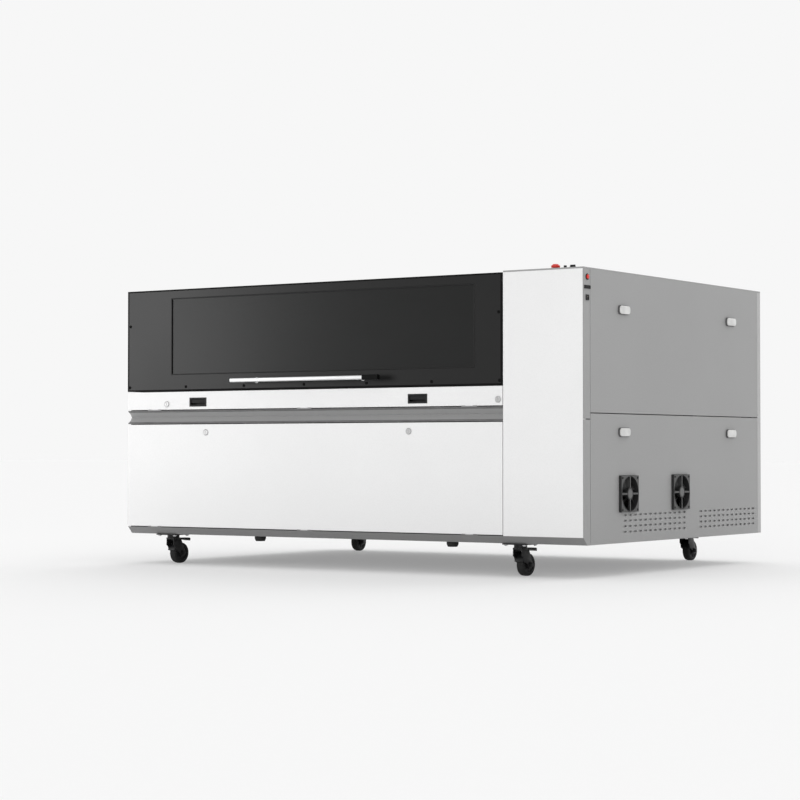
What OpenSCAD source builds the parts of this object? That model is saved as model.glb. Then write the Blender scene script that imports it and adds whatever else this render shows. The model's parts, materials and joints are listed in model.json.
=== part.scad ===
// Enclosed fiber laser cutting machine on casters.
// X runs to the right, Y to the back and Z up. The origin is on the floor under the cabinet's middle.

/* [Cabinet] */
// Width of the cabinet
body_w = 1908; // [1700:1:2200]
// Depth of the cabinet
body_d = 1344; // [1280:1:1500]
// Height of the cabinet from its underside to the top of the column front
body_h = 886; // [860:1:960]
// Height of the underside above the floor
ground = 108; // [100:1:130]
// Width of the control column at the right
column_w = 299; // [260:1:340]
// Thickness of the sheet metal
sheet = 2; // [1.5:0.5:3]
// Depth of the folded panel edges
fold = 18; // [16:1:22]
// Seam between neighbouring panels
seam = 3; // [2.5:0.5:4]
// Bevel along the lower front edge
bevel = 25; // [18:1:32]
// Height of the roof panels' folded edge
roof_lip = 5; // [4:1:9]
// Width of the grey corner post on the right side
post_w = 44; // [36:1:60]
// Width of the rear margin on the right side
rear_margin = 27; // [20:1:40]
// Height of the seam between the right panels, above the underside
side_seam_h = 424; // [400:1:440]
// Height of the seam across the corner post, above the underside
post_seam_h = 404; // [380:1:440]

/* [Front] */
// Height of the hood's front wall
lid_h = 368; // [340:1:390]
// Height of the front flap's place
flap_h = 70; // [60:1:80]
// Height of the V groove
groove_h = 48; // [40:1:56]
// Depth of the V groove
groove_d = 24; // [18:1:28]
// Distance of the round locks' middle above the groove, on the flap
flap_lock_h = 23; // [18:1:32]
// Left flap lock, from the left end of the flap
flap_lock_left_x = 186; // [80:1:260]
// Right flap lock, from the right edge of the flap
flap_lock_right_x = 19; // [15:1:100]
// Distance of the door locks below the top of the door
door_lock_drop = 29; // [28:1:60]
// Distance of each door lock from the door's nearer end
door_lock_in = 367; // [200:1:600]
// Radius of a round lock's head
lock_r = 11; // [9:0.5:14]
// Width of a paddle latch
latch_w = 77; // [65:1:95]
// Height of a paddle latch
latch_h = 32; // [28:1:38]
// Distance of each paddle latch from the flap's nearer end
latch_in = 331; // [320:1:500]

/* [Hood] */
// Distance from the front to the hood's hinge axis
lid_depth = 924; // [860:1:980]
// Wall of the hood
lid_wall = 3; // [2:0.5:4]
// Distance from the hood's left edge to the window opening
window_left = 206; // [150:1:260]
// Distance from the window opening to the hood's right edge
window_right = 105; // [80:1:200]
// Height of the window opening
window_h = 277; // [220:1:290]
// Distance of the window opening below the top of the hood
window_drop = 32; // [25:1:50]
// Thickness of the window pane
pane_t = 4; // [3:0.5:6]
// Length of the handle bar
handle_len = 630; // [500:1:800]
// Height of the handle's middle above the hood's lower edge
handle_h = 33; // [25:1:60]
// Distance between the handle posts
handle_posts = 456; // [300:1:560]
// Clear room behind the handle bar
handle_gap = 32; // [28:1:45]
// Distance of the handle's middle to the right of the hood's middle
handle_shift = 22; // [-60:1:60]

/* [Right side] */
// Width of a fan frame
fan_w = 120; // [92:1:120]
// Thickness of a fan frame
fan_t = 25; // [25:1:32]
// How far the fans stand out of the side
fan_proud = 10; // [6:1:14]
// Height of the fans' middle above the underside
fan_z = 161; // [150:1:200]
// Distance of the front fan's middle from the cabinet's front
fan_front = 298; // [250:1:380]
// Distance between the fans' middles
fan_pitch = 379; // [200:1:420]
// Number of blades in a fan
blades = 7; // [5:1:9]
// Number of rows of vent slots
vent_rows = 4; // [3:1:4]
// Distance between vent slots along a row
vent_pitch = 36; // [32:1:44]
// Distance from the cabinet's front to the first vent slot
vent_front = 268; // [200:1:320]
// Distance from the last vent slot to the cabinet's back
vent_rear = 59; // [50:1:120]
// Distance between the two groups of vent slots
vent_gap = 109; // [80:1:160]
// Distance between rows of vent slots
vent_row_pitch = 18.3; // [14:0.1:20]
// Length of a vent slot
vent_len = 22; // [16:1:26]
// Height of a vent slot
vent_t = 6; // [4:0.5:8]
// Length of an oblong turn latch
turn_len = 72; // [50:1:80]
// Height of an oblong turn latch
turn_t = 30; // [26:1:34]
// Distance of the front turn latches' middle from the cabinet's front
turn_front = 269; // [200:1:340]
// Distance of the rear turn latches' middle from the cabinet's back
turn_rear = 261; // [200:1:340]
// Distance of the upper turn latches below the top of the column front
turn_drop = 120.5; // [80:0.5:180]
// Distance of the lower turn latches below the seam between the right panels
turn_below = 60.5; // [40:0.5:90]
// Distance of the red button below the top of the column front
red_drop = 26; // [22:1:40]
// Distance of the flat socket below the top of the column front
flat_drop = 59; // [52:1:70]
// Distance of the square socket below the top of the column front
square_drop = 92.5; // [84:0.5:110]

/* [Machine] */
// Side of the square frame tubes
tube = 40; // [36:1:44]
// Wall of the frame tubes
tube_wall = 3; // [2:0.5:4]
// Distance of the linear modules from the walls of the work space
module_inset = 74; // [70:1:90]
// Spacing of the bed slats
slat_pitch = 60; // [50:1:80]
// Distance between the teeth of a slat
tooth_pitch = 30; // [24:1:40]
// Radius of the exhaust spigot
spigot_r = 75; // [60:1:100]
// Height of the exhaust spigot above the underside
spigot_h = 330; // [200:1:400]

/* [Casters] */
// Radius of a caster wheel
wheel_r = 37.5; // [35:0.5:40]
// Width of a caster wheel
wheel_w = 28; // [24:1:32]
// Distance of the left casters' swivel axes from the cabinet's left side
caster_left = 167; // [110:1:220]
// Distance of the right casters' swivel axes from the cabinet's right side
caster_right = 270; // [120:1:300]
// Distance of the front casters' swivel axes from the cabinet's front
caster_front = 62; // [60:1:120]
// Distance of the rear casters' swivel axes from the cabinet's back
caster_rear = 72; // [60:1:120]
// Distance of the wheel axle behind the swivel axis
trail = 30; // [24:1:34]

/* [Hidden] */
$fn = 48;
eps = 1;
// Gap at a weld or screwed joint, radial clearance of a running pin, and clearance of a piece that passes
weld = 0.2;
run = 0.05;
pass = 0.4;

x_left = -body_w / 2;
x_right = body_w / 2;
y_front = -body_d / 2;
y_rear = body_d / 2;
z_low = ground;
z_top = ground + body_h;
x_col = x_right - column_w;
mid_x = (x_left + x_col) / 2;

// Heights of the front's bands
z_lid = z_top - lid_h;
z_groove1 = z_lid - flap_h;
z_groove0 = z_groove1 - groove_h;
z_apex = (z_groove0 + z_groove1) / 2;
z_bevel = z_low + bevel;

// Small hinges of the flap and the door: their axes lie in the seam, just behind the front face
knuckle_r = 2.2;
knuckle_pin = 1.1;
knuckle_len = 60;
knuckle_eye = 30;
knuckle_in = 1.2;
knuckle_up = 1.6;
knuckle_room = 0.6;
flap_fold = 12;
front_hinge_in = 128;
front_len = x_col - seam - x_left;
front_x1 = x_left + front_len;
front_hinge_xs = [x_left + front_hinge_in, x_left + front_len / 2, front_x1 - front_hinge_in];
flap_z0 = z_groove1 + seam;
flap_z1 = z_lid - seam;
door_z0 = z_bevel + seam;
door_z1 = z_groove0 - seam;

// Hood
lid_x1 = x_col - 1.25 * seam;
hinge_y = y_front + lid_depth;
hinge_up = 3;
hinge_z = z_top + hinge_up;
lid_knuckle_r = 5;
lid_pin_r = 2.5;
lid_knuckle_len = 90;
lid_eye = 44;
lid_back = hinge_y - seam / 2;
roof_front = hinge_y + seam / 2;
leaf_t = 2;
leaf_w = 34;
leaf_side = 0.3;
lid_hinge_in = 160;
lid_hinge_xs = [x_left + lid_hinge_in, (x_left + lid_x1) / 2, lid_x1 - lid_hinge_in];
lid_knuckle_room = 0.6;
lid_return = 20;
handle_x = (x_left + lid_x1) / 2 + handle_shift;
handle_z = z_lid + handle_h;
bar_d = 12;
bar_t = 14;
bar_edge = 4;
handle_post_r = 11;
window_x0 = x_left + window_left;
window_x1 = lid_x1 - window_right;
window_z1 = z_top - window_drop;
pane_lap = 15;

// Gas struts: both pivots, seen from the side, with the hood closed
strut_foot_in = 252;
strut_foot_up = 4;
strut_head_in = 220;
strut_head_drop = 50;
strut_foot_y = hinge_y - strut_foot_in;
strut_foot_z = z_groove1 + strut_foot_up;
strut_head_y = hinge_y - strut_head_in;
strut_head_z = hinge_z - strut_head_drop;
strut_rise = strut_head_z - strut_foot_z;
strut_run = strut_head_y - strut_foot_y;
strut_len = sqrt(strut_rise * strut_rise + strut_run * strut_run);
strut_tilt = atan2(strut_run, strut_rise);
strut_r = 9;
strut_rod_r = 4.5;
strut_eye_r = 9;
strut_pin = 4;
strut_inset = 24;
strut_body = 300;
strut_stud = 6;
strut_side = 1;
strut_eye_t = 14;
bracket_w = 36;
bracket_tab = 24;
bracket_edge = 4;
strut_xs = [x_left + strut_inset, x_col - strut_inset];

// Frame
frame_in = 34;
frame_y0 = y_front + fold + frame_in;
frame_y1 = y_rear - sheet - weld - tube;
frame_x0 = x_left + sheet + weld;
frame_x1 = x_right - fold - weld - tube;
frame_xc = x_col + sheet + weld;
frame_z0 = z_low + sheet;
frame_z1 = z_top + roof_lip - sheet - weld;
hinge_rail_in = 4;
hinge_rail_y = hinge_y + lid_knuckle_r + hinge_rail_in;
hinge_rail_z = z_top - weld - tube;
deck_drop = 8;
deck_z = z_groove1 - deck_drop - tube;
module_xs = [x_left + module_inset, x_col - module_inset];
runner_x = 450;
runner_xs = [mid_x - runner_x, mid_x + runner_x];
module_w = 56;
module_h = 52;
module_end = 20;
module_cap = 4;
module_rail = 12;
module_rail_x = 16;
module_groove_r = 5;
module_len = frame_y1 - frame_y0 - tube - 2 * weld - 3 * module_end;
bracket_t = 5;
panel_gap = 0.5;
ledge = 8;
post_flange = 22;
spigot_z = z_low + spigot_h;
spigot_len = 45;
spigot_wall = 1.5;
spigot_flange = 20;

// Bed and tray
bed_rail = 20;
bed_x0 = module_xs[0] + tube / 2 + weld;
bed_x1 = module_xs[1] - tube / 2 - weld;
bed_y0 = frame_y0 + tube + weld;
bed_behind = 128;
bed_y1 = hinge_y + bed_behind;
bed_z0 = deck_z - deck_drop;
bed_z1 = deck_z + tube;
slat_t = 3;
slat_room = 0.3;
slat_seat = 6;
slat_up = 16;
slat_z0 = bed_z0 + slat_seat;
slat_z1 = bed_z1 + slat_up;
tooth_h = 12;
slat_n = floor((bed_x1 - bed_x0 - 2 * bed_rail - slat_pitch) / slat_pitch);
tray_h = 80;
tray_margin = 30;

// Gantry, parked at the back
beam_behind = 168;
beam_y = hinge_y + beam_behind;
beam_d = 80;
beam_h = 90;
beam_up = 92;
beam_z = deck_z + tube + module_h + beam_up;
beam_wall = 4;
rail_edge = 10;
leg_in = 3;
beam_motor_w = 56;
beam_motor_h = 60;
beam_motor_x = 60;
beam_motor_cap = [20, 66];
saddle_t = 14;
saddle_len = 120;
saddle_gap = 0.3;
rail_w = 14;
rail_d = 10;
carriage_w = 140;
carriage_t = 20;
carriage_low = 4;
carriage_rise = 40;
carriage_motor = [42, 32, 42];
head_rail_x = 34;
head_rail_w = 12;
head_rail_d = 8;
head_rail_h = 36;
slide_w = 104;
slide_t = 12;
slide_gap = 3;
slide_z = [18, 104];
yoke_w = 76;
yoke_reach = 32;
yoke_z = [40, 62];
head_axis_gap = 62;
head_y = beam_y - beam_d / 2 - rail_d - carriage_t - head_axis_gap;
head_up = 74;
head_tip_z = slat_z1 + head_up;

// Cutting head: heights of its pieces from the nozzle's tip up, and their radii
tip_h = 18;
tip_r = 5;
flange_h = 7;
flange_r = 11;
ring_h = 14;
ring_r = 14;
nut_h = 18;
nut_r = 21.5;
cone_h = 14;
cone_r = 24;
arm_h = 21;
arm_r = 24;
arm_len = 66;
stub_r = 10;
stub_h = 16;
stem_r = 10;
stem_h = 40;
collar_h = 14;
collar_r = 16;
head_h = 120;
head_w0 = 38;
head_w1 = 54;
head_taper = 30;
cap_r = 15;
cap_h = 14;
lug = 9;
lug_edge = 4;
lug_bolt = 3.2;
stem_step = 3;
arm_narrow = 8;
nozzle_bore = 1.2;
edge_cut = 3;
collar_up = 4;
z_ring = head_tip_z + tip_h + flange_h;
z_nut = z_ring + ring_h;
z_arm = z_nut + nut_h;
z_stem = z_arm + cone_h + arm_h;
z_collar = z_stem + stem_h - collar_h - collar_up;
z_head = z_stem + stem_h;

// Right side
side_y0 = y_front + post_w + 0.7 * seam;
side_y1 = y_rear - rear_margin - 0.5 * seam;
side_seam_z = z_low + side_seam_h;
post_seam_z = z_low + post_seam_h;
fan_wall = 3;
fan_bore = fan_w / 2 - fan_wall;
fan_hub = 20;
fan_shaft = 3;
fan_x1 = x_right + fan_proud;
fan_x0 = fan_x1 - fan_t;
fan_rib = 3;
fan_rib_w = 6;
fan_rotor_gap = 1;
fan_chord = 24;
fan_lean = 38;
fan_tip = 53;
fan_camber = 26;
fan_blade_t = 2;
fan_hole_in = 7.5;
fan_hole_r = 2.2;
fan_y = [y_front + fan_front, y_front + fan_front + fan_pitch];
vent_h = 36;
vent_z = z_low + vent_h;
vent_n = floor(((body_d - vent_front - vent_rear - vent_gap) / 2 - vent_len) / vent_pitch) + 1;
vent_y = [y_front + vent_front, y_rear - vent_rear - vent_len - (vent_n - 1) * vent_pitch];
turn_y = [y_front + turn_front, y_rear - turn_rear];
turn_z = [side_seam_z - turn_below, z_top - turn_drop];
turn_h = 10;
turn_round = 11;
turn_shank = 7;
cam_t = 3;
turn_cam = [40, 12];

// Roof controls and the corner post's controls
control_back = 82;
stop_in = 148;
pilot_in = 112;
key_in = 84;
control_y = y_front + control_back;
stop_x = x_right - stop_in;
pilot_x = x_right - pilot_in;
key_x = x_right - key_in;
roof_z = z_top + roof_lip;
stop_r = 15;
stop_stem = 7;
stop_travel = 3.5;
stop_dome = 7;
stop_side = 5;
control_in = 8;
collar_t = 4;
control_gap = 0.5;
pilot_r = 5;
pilot_h = 14;
key_r = 10;
key_plate = 4.6;
key_bow = [18, 4, 6];
post_mid = 25;
post_mid_y = y_front + post_mid;
red_z = z_top - red_drop;
red_r = 7;
red_travel = 2;
socket_flat = [38, 11, z_top - flat_drop];
socket_tall = [18, 18, z_top - square_drop];
fitting_proud = 3;
socket_rim = 3;
socket_floor = 1;

// Casters
caster_xs = [x_left + caster_left, x_right - caster_right];
caster_ys = [y_front + caster_front, y_rear - caster_rear];
caster_at = [[caster_xs[0], caster_ys[0], -5, "front_left"], [caster_xs[1], caster_ys[0], -4, "front_right"],
    [caster_xs[0], caster_ys[1], 180, "rear_left"], [caster_xs[1], caster_ys[1], 0, "rear_right"]];
plate_w = 88;
plate_t = 4;
race_r = 22;
kingpin_end = 5;
race_h = 10;
kingpin_r = 6;
axle_r = 5;
race_gap = 0.3;
fork_top = ground - plate_t - race_h - race_gap;
fork_t = 6;
leg_t = 3;
leg_gap = 2;
fork_r = 23;
fork_y = [-18, 20];
fork_skirt = 24;
fork_guard = 38;
axle_eye = 13;
axle_nut = [8.5, 3];
pedal_y = [12, 22, 42];
pedal_up = 3;
pedal_t = [6, 10];
hub_r = 12;
hub_face = 14;
tyre_t = 9;
tyre_round = [3, 8];
rim_in = 3;
foot_left = 579;
foot_right = 523;
foot_xs = [x_left + foot_left, x_right - foot_right];
foot_r = [16, 20];
foot_drop = 17;
foot_ys = [y_front + bevel + foot_r[1], y_rear - bevel - foot_r[1]];

white = [0.93, 0.93, 0.93];
grey = [0.62, 0.62, 0.62];
dark_grey = [0.42, 0.42, 0.43];
hood_grey = [0.2, 0.2, 0.2];
black = [0.07, 0.07, 0.07];
steel = [0.72, 0.73, 0.74];
alloy = [0.83, 0.83, 0.84];
red = [0.85, 0.12, 0.1];
copper = [0.8, 0.5, 0.36];
ceramic = [0.86, 0.85, 0.82];
smoke = [0.12, 0.12, 0.12, 0.6];

CORNERS = [for (c = caster_at) c[3]];

// A section drawn in Y and Z, run along X
module along_x(x0, x1) translate([x0, 0, 0]) rotate([90, 0, 90]) linear_extrude(x1 - x0) children();

// A round bar or a ring along X
module rod_x(x0, x1, r) translate([x0, 0, 0]) rotate([0, 90, 0]) cylinder(r = r, h = x1 - x0);
module ring_x(x0, x1, r, bore) difference() {
    rod_x(x0, x1, r);
    rod_x(x0 - eps, x1 + eps, bore);
}

// A box between two corners
module block(a, b) translate(a) cube(b - a);

// Square tubes along each axis
module tube_x(x0, x1, y, z) translate([x0, y, z]) difference() {
    cube([x1 - x0, tube, tube]);
    translate([-eps, tube_wall, tube_wall])
        cube([x1 - x0 + 2 * eps, tube - 2 * tube_wall, tube - 2 * tube_wall]);
}
module tube_y(y0, y1, x, z) translate([x, y0, z]) difference() {
    cube([tube, y1 - y0, tube]);
    translate([tube_wall, -eps, tube_wall])
        cube([tube - 2 * tube_wall, y1 - y0 + 2 * eps, tube - 2 * tube_wall]);
}
module tube_z(z0, z1, x, y) translate([x, y, z0]) difference() {
    cube([tube, tube, z1 - z0]);
    translate([tube_wall, tube_wall, -eps])
        cube([tube - 2 * tube_wall, tube - 2 * tube_wall, z1 - z0 + 2 * eps]);
}

// Folded trays, open at the back of the named face
module front_tray(x0, x1, z0, z1, depth = fold) difference() {
    block([x0, y_front, z0], [x1, y_front + depth, z1]);
    block([x0 + sheet, y_front + sheet, z0 + sheet], [x1 - sheet, y_front + depth + eps, z1 - sheet]);
}
module side_tray(y0, y1, z0, z1) difference() {
    block([x_right - fold, y0, z0], [x_right, y1, z1]);
    block([x_right - fold - eps, y0 + sheet, z0 + sheet], [x_right - sheet, y1 - sheet, z1 - sheet]);
}
module roof_tray(x0, x1, y0, y1) difference() {
    block([x0, y0, z_top], [x1, y1, roof_z]);
    block([x0 + sheet, y0 + sheet, z_top - eps], [x1 - sheet, y1 - sheet, roof_z - sheet]);
}

// Small front hinges: fixed ends with the pin, the turning eye, and the room that each needs
module at_front_hinges(z) for (x = front_hinge_xs)
    translate([x, y_front + knuckle_in, z + knuckle_up]) children();
module hinge_ends() {
    for (s = [-1, 1]) translate([s * (knuckle_len + knuckle_eye) / 4, 0, 0])
        rod_x(-(knuckle_len - knuckle_eye) / 4 + knuckle_room / 2, (knuckle_len - knuckle_eye) / 4,
            knuckle_r);
    rod_x(-knuckle_len / 2 + eps, knuckle_len / 2 - eps, knuckle_pin);
}
module hinge_eye() ring_x(-knuckle_eye / 2 + knuckle_room / 2, knuckle_eye / 2 - knuckle_room / 2,
    knuckle_r, knuckle_pin + run);
module hinge_bore() rod_x(-knuckle_eye / 2, knuckle_eye / 2, knuckle_pin + run);
module hinge_end_room() for (s = [-1, 1]) translate([s * (knuckle_len + knuckle_eye) / 4, 0, 0])
    rod_x(-(knuckle_len - knuckle_eye) / 4 - knuckle_room, (knuckle_len - knuckle_eye) / 4 + knuckle_room,
        knuckle_r + knuckle_room);
module hinge_eye_room()
    rod_x(-knuckle_eye / 2 - knuckle_room / 2, knuckle_eye / 2 + knuckle_room / 2, knuckle_r + knuckle_room);

// Welded frame of square tube
module base_frame() color(dark_grey) {
    post_z0 = frame_z0 + tube + weld;
    for (y = [frame_y0, frame_y1]) tube_x(frame_x0, frame_x1 + tube, y, frame_z0);
    for (x = concat([frame_x0, frame_xc, frame_x1], [for (r = runner_xs) r - tube / 2]))
        tube_y(frame_y0 + tube + weld, frame_y1 - weld, x, frame_z0);
    for (p = [[frame_x0, frame_y1], [frame_xc, frame_y0], [frame_xc, frame_y1], [frame_x1, frame_y0],
        [frame_x1, frame_y1]])
        tube_z(post_z0, frame_z1, p[0], p[1]);
    tube_z(post_z0, deck_z - weld, frame_x0, frame_y0);
    tube_z(post_z0, hinge_rail_z - weld, frame_x0, hinge_rail_y);
    tube_x(frame_x0, x_col - weld, hinge_rail_y, hinge_rail_z);
    tube_x(frame_x0, x_col - weld, frame_y0, deck_z);
    tube_x(frame_x0 + tube + weld, x_col - weld, frame_y1, deck_z);
    for (x = module_xs) tube_y(frame_y0 + tube + weld, frame_y1 - weld, x - tube / 2, deck_z);
    strut_brackets();
}

// Plates that carry the struts' lower pivots, on the outer faces of the deck rails
module strut_brackets() for (i = [0, 1]) {
    side = i == 0 ? -1 : 1;
    face = module_xs[i] + side * (tube / 2 + weld);
    plate = strut_xs[i] - side * (strut_r + strut_side);
    back = plate - side * bracket_t;
    tip = strut_xs[i] + side * strut_r;
    z0 = deck_z + bracket_edge;
    translate([0, strut_foot_y, 0]) {
        block([min(face, plate), -bracket_w / 2, z0],
            [max(face, plate), bracket_w / 2, deck_z + tube - bracket_edge]);
        block([min(plate, back), -bracket_tab / 2, z0],
            [max(plate, back), bracket_tab / 2, strut_foot_z + bracket_tab / 2]);
        translate([0, 0, strut_foot_z]) rod_x(min(back, tip), max(back, tip), strut_pin);
    }
}

// Bottom sheet with the bevelled front edge, which carries the door's hinges
module base_pan() color(grey) difference() {
    union() {
        along_x(frame_x0, x_right - sheet - weld) polygon([
            [y_front, z_bevel], [y_front + bevel, z_low], [y_rear - sheet - weld, z_low],
            [y_rear - sheet - weld, z_low + sheet], [y_front + bevel + sheet * tan(22.5), z_low + sheet],
            [y_front + sheet * sqrt(2), z_bevel]]);
        at_front_hinges(z_bevel) hinge_ends();
    }
    block([x_right - fold - weld, side_y0 - seam, z_low - eps], [x_right, y_rear, z_low + sheet + eps]);
    difference() {
        at_front_hinges(z_bevel) hinge_eye_room();
        at_front_hinges(z_bevel) rod_x(-knuckle_eye, knuckle_eye, knuckle_pin);
    }
}

// Left side: the lower sheet follows groove and bevel, the upper one closes the back part behind the hood
module left_panel() color(grey) {
    front = y_front + fold + panel_gap;
    reach = front - y_front;
    along_x(x_left, x_left + sheet) polygon([
        [y_front + bevel, z_low], [y_rear, z_low], [y_rear, flap_z1], [front, flap_z1],
        [front, z_groove1 - reach * groove_h / 2 / groove_d], [y_front + groove_d, z_apex],
        [front, z_groove0 + reach * groove_h / 2 / groove_d], [front, z_low + bevel - reach]]);
    block([x_left, front, flap_z1 - sheet], [x_left + sheet + ledge, lid_back, flap_z1]);
    block([x_left, roof_front, flap_z1 + weld], [x_left + sheet, y_rear, z_top - weld]);
}

// Rear sheet, folded round the right corner, and the spigot for the exhaust hose
module rear_panel() color(grey) {
    spigot = [mid_x, y_rear, spigot_z];
    difference() {
        translate([0, 0, z_low]) linear_extrude(body_h - weld) polygon([
            [frame_x0, y_rear - sheet], [x_right - sheet, y_rear - sheet],
            [x_right - sheet, y_rear - rear_margin], [x_right, y_rear - rear_margin],
            [x_right, y_rear], [frame_x0, y_rear]]);
        translate(spigot) rotate([90, 0, 0])
            cylinder(r = spigot_r - spigot_wall, h = 4 * sheet, center = true);
    }
    translate(spigot + [0, weld, 0]) rotate([-90, 0, 0]) difference() {
        union() {
            cylinder(r = spigot_r, h = spigot_len);
            cylinder(r = spigot_r + spigot_flange, h = sheet);
        }
        translate([0, 0, -eps]) cylinder(r = spigot_r - spigot_wall, h = spigot_len + 2 * eps);
    }
}

// Roof: one sheet over the column, with the holes of its controls, and one behind the hood
module roof_panels() color(grey) {
    difference() {
        roof_tray(x_col, x_right, y_front, y_rear);
        for (x = [stop_x, key_x]) translate([x, control_y, z_top])
            cylinder(r = stop_stem + pass, h = 2 * roof_lip);
    }
    difference() {
        roof_tray(x_left, x_col - pass, roof_front, y_rear);
        at_lid_hinges() lid_hinge_room();
    }
}

module column_front() color(white) front_tray(x_col, x_right - sheet - weld, z_bevel, z_top - weld);

// Grey strip on the right side's front edge, in two lengths, with the holes of its controls
module corner_post() color(grey) {
    for (span = [[z_low, post_seam_z - seam / 2], [post_seam_z + seam / 2, z_top - weld]]) difference() {
        union() {
            block([x_right - sheet, y_front, span[0]], [x_right, y_front + post_w, span[1]]);
            block([x_right - post_flange, y_front + post_w - sheet, max(span[0], z_low + sheet + weld)],
                [x_right, y_front + post_w, span[1]]);
        }
        along_x(x_right - fold, x_right + eps) polygon([
            [y_front - eps, z_low - eps], [y_front + bevel + eps, z_low - eps],
            [y_front - eps, z_bevel + eps]]);
        translate([0, post_mid_y, red_z]) rod_x(x_right - fold, x_right + eps, red_r + pass);
    }
}

module turn_hole(y, z) translate([0, y, z]) rod_x(x_right - fold, x_right + eps, turn_shank + run);

module right_upper_panel() color(grey) difference() {
    side_tray(side_y0, side_y1, side_seam_z + seam / 2, z_top - weld);
    for (y = turn_y) turn_hole(y, turn_z[1]);
}

// A row of round-ended slots, drawn in Y and Z
module slot_row() for (i = [0 : vent_n - 1]) translate([i * vent_pitch, 0]) {
    square([vent_len - vent_t, vent_t], center = true);
    for (s = [-1, 1]) translate([s * (vent_len - vent_t) / 2, 0]) circle(d = vent_t, $fn = 24);
}

// Lower right panel with the fans' cut-outs and two groups of vent slots
module right_lower_panel() color(grey) difference() {
    side_tray(side_y0, side_y1, z_low, side_seam_z - seam / 2);
    for (y = turn_y) turn_hole(y, turn_z[0]);
    for (y = fan_y) block([x_right - fold, y - fan_w / 2 - pass, z_low + fan_z - fan_w / 2 - pass],
                          [x_right + eps, y + fan_w / 2 + pass, z_low + fan_z + fan_w / 2 + pass]);
    for (y = vent_y, row = [0 : vent_rows - 1])
        translate([0, y + vent_len / 2, vent_z + row * vent_row_pitch])
        along_x(x_right - 2 * sheet, x_right + eps) slot_row();
}

// V-shaped channel between flap and door, with a web to the frame; it carries the flap's hinges
module groove_channel() color(grey) difference() {
    back = y_front + sheet * sqrt(2);
    web = back + groove_d - sheet / 2;
    union() {
        along_x(frame_x0, x_col - seam) polygon([
            [y_front, z_groove0], [y_front + groove_d, z_apex], [y_front, z_groove1], [back, z_groove1],
            [web, z_apex + sheet / 2], [frame_y0 - weld, z_apex + sheet / 2],
            [frame_y0 - weld, z_apex - sheet / 2], [web, z_apex - sheet / 2], [back, z_groove0]]);
        at_front_hinges(z_groove1) hinge_ends();
    }
    difference() {
        at_front_hinges(z_groove1) hinge_eye_room();
        at_front_hinges(z_groove1) rod_x(-knuckle_eye, knuckle_eye, knuckle_pin);
    }
}

// Wall between the work space and the column
module partition_wall() color(grey)
    block([x_col, y_front + fold + panel_gap, frame_z0 + tube + weld],
        [x_col + sheet, y_rear - sheet - weld, z_top - weld]);

// Hood hinges: fixed leaves on the rear roof, each with its two end knuckles and pin
module at_lid_hinges() for (x = lid_hinge_xs) translate([x, hinge_y, hinge_z]) children();
module lid_hinge_room() rod_x(-lid_knuckle_len / 2 - lid_knuckle_room,
    lid_knuckle_len / 2 + lid_knuckle_room, lid_knuckle_r + lid_knuckle_room);
module lid_hinge_leaves() color(steel) at_lid_hinges() {
    end = (lid_knuckle_len - lid_eye) / 2;
    difference() {
        union() {
            for (x = [-lid_knuckle_len / 2, lid_eye / 2])
                rod_x(x + (x > 0 ? leaf_side : 0), x + end - (x < 0 ? leaf_side : 0), lid_knuckle_r);
            block([-lid_knuckle_len / 2, 0, roof_z - hinge_z],
                [lid_knuckle_len / 2, leaf_w, roof_z - hinge_z + leaf_t]);
        }
        rod_x(-lid_eye / 2 - leaf_side, lid_eye / 2 + leaf_side, lid_knuckle_r + lid_knuckle_room);
    }
    rod_x(-lid_knuckle_len / 2 + eps, lid_knuckle_len / 2 - eps, lid_pin_r);
}

// Hood: front wall with the window opening, top, and two cheeks, with the hinge eyes on its rear edge
module lid_shell() color(hood_grey) {
    difference() {
        union() {
            block([x_left, y_front, z_lid], [lid_x1, y_front + lid_wall, z_top]);
            block([x_left, y_front, z_lid], [lid_x1, y_front + lid_return, z_lid + lid_wall]);
        }
        block([window_x0, y_front - eps, window_z1 - window_h],
            [window_x1, y_front + lid_wall + eps, window_z1]);
    }
    difference() {
        block([x_left, y_front + lid_wall + weld, z_top - lid_wall], [lid_x1, lid_back, z_top]);
        at_lid_hinges() lid_hinge_room();
    }
    for (i = [0, 1]) {
        inner = i == 0 ? x_left + lid_wall : lid_x1 - lid_wall;
        stud = strut_xs[i] + (i == 0 ? -1 : 1) * (strut_r + strut_side);
        block([i == 0 ? x_left : inner, y_front + lid_return + weld, z_lid],
              [i == 0 ? inner : lid_x1, lid_back, z_top - lid_wall - weld]);
        translate([0, strut_head_y, strut_head_z])
            rod_x(min(inner, stud) - weld, max(inner, stud) + (i == 0 ? 0 : weld), strut_stud);
    }
    at_lid_hinges() difference() {
        union() {
            rod_x(-lid_eye / 2, lid_eye / 2, lid_knuckle_r);
            block([-lid_eye / 2, -leaf_w, z_top - hinge_z + weld],
                [lid_eye / 2, 0, z_top - hinge_z + weld + leaf_t]);
        }
        rod_x(-lid_eye, lid_eye, lid_pin_r + run);
    }
}

module lid_window() color(smoke) block(
    [window_x0 - pane_lap, y_front + lid_wall + weld, window_z1 - window_h - pane_lap],
    [window_x1 + pane_lap, y_front + lid_wall + weld + pane_t, window_z1 + pane_lap]);

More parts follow.
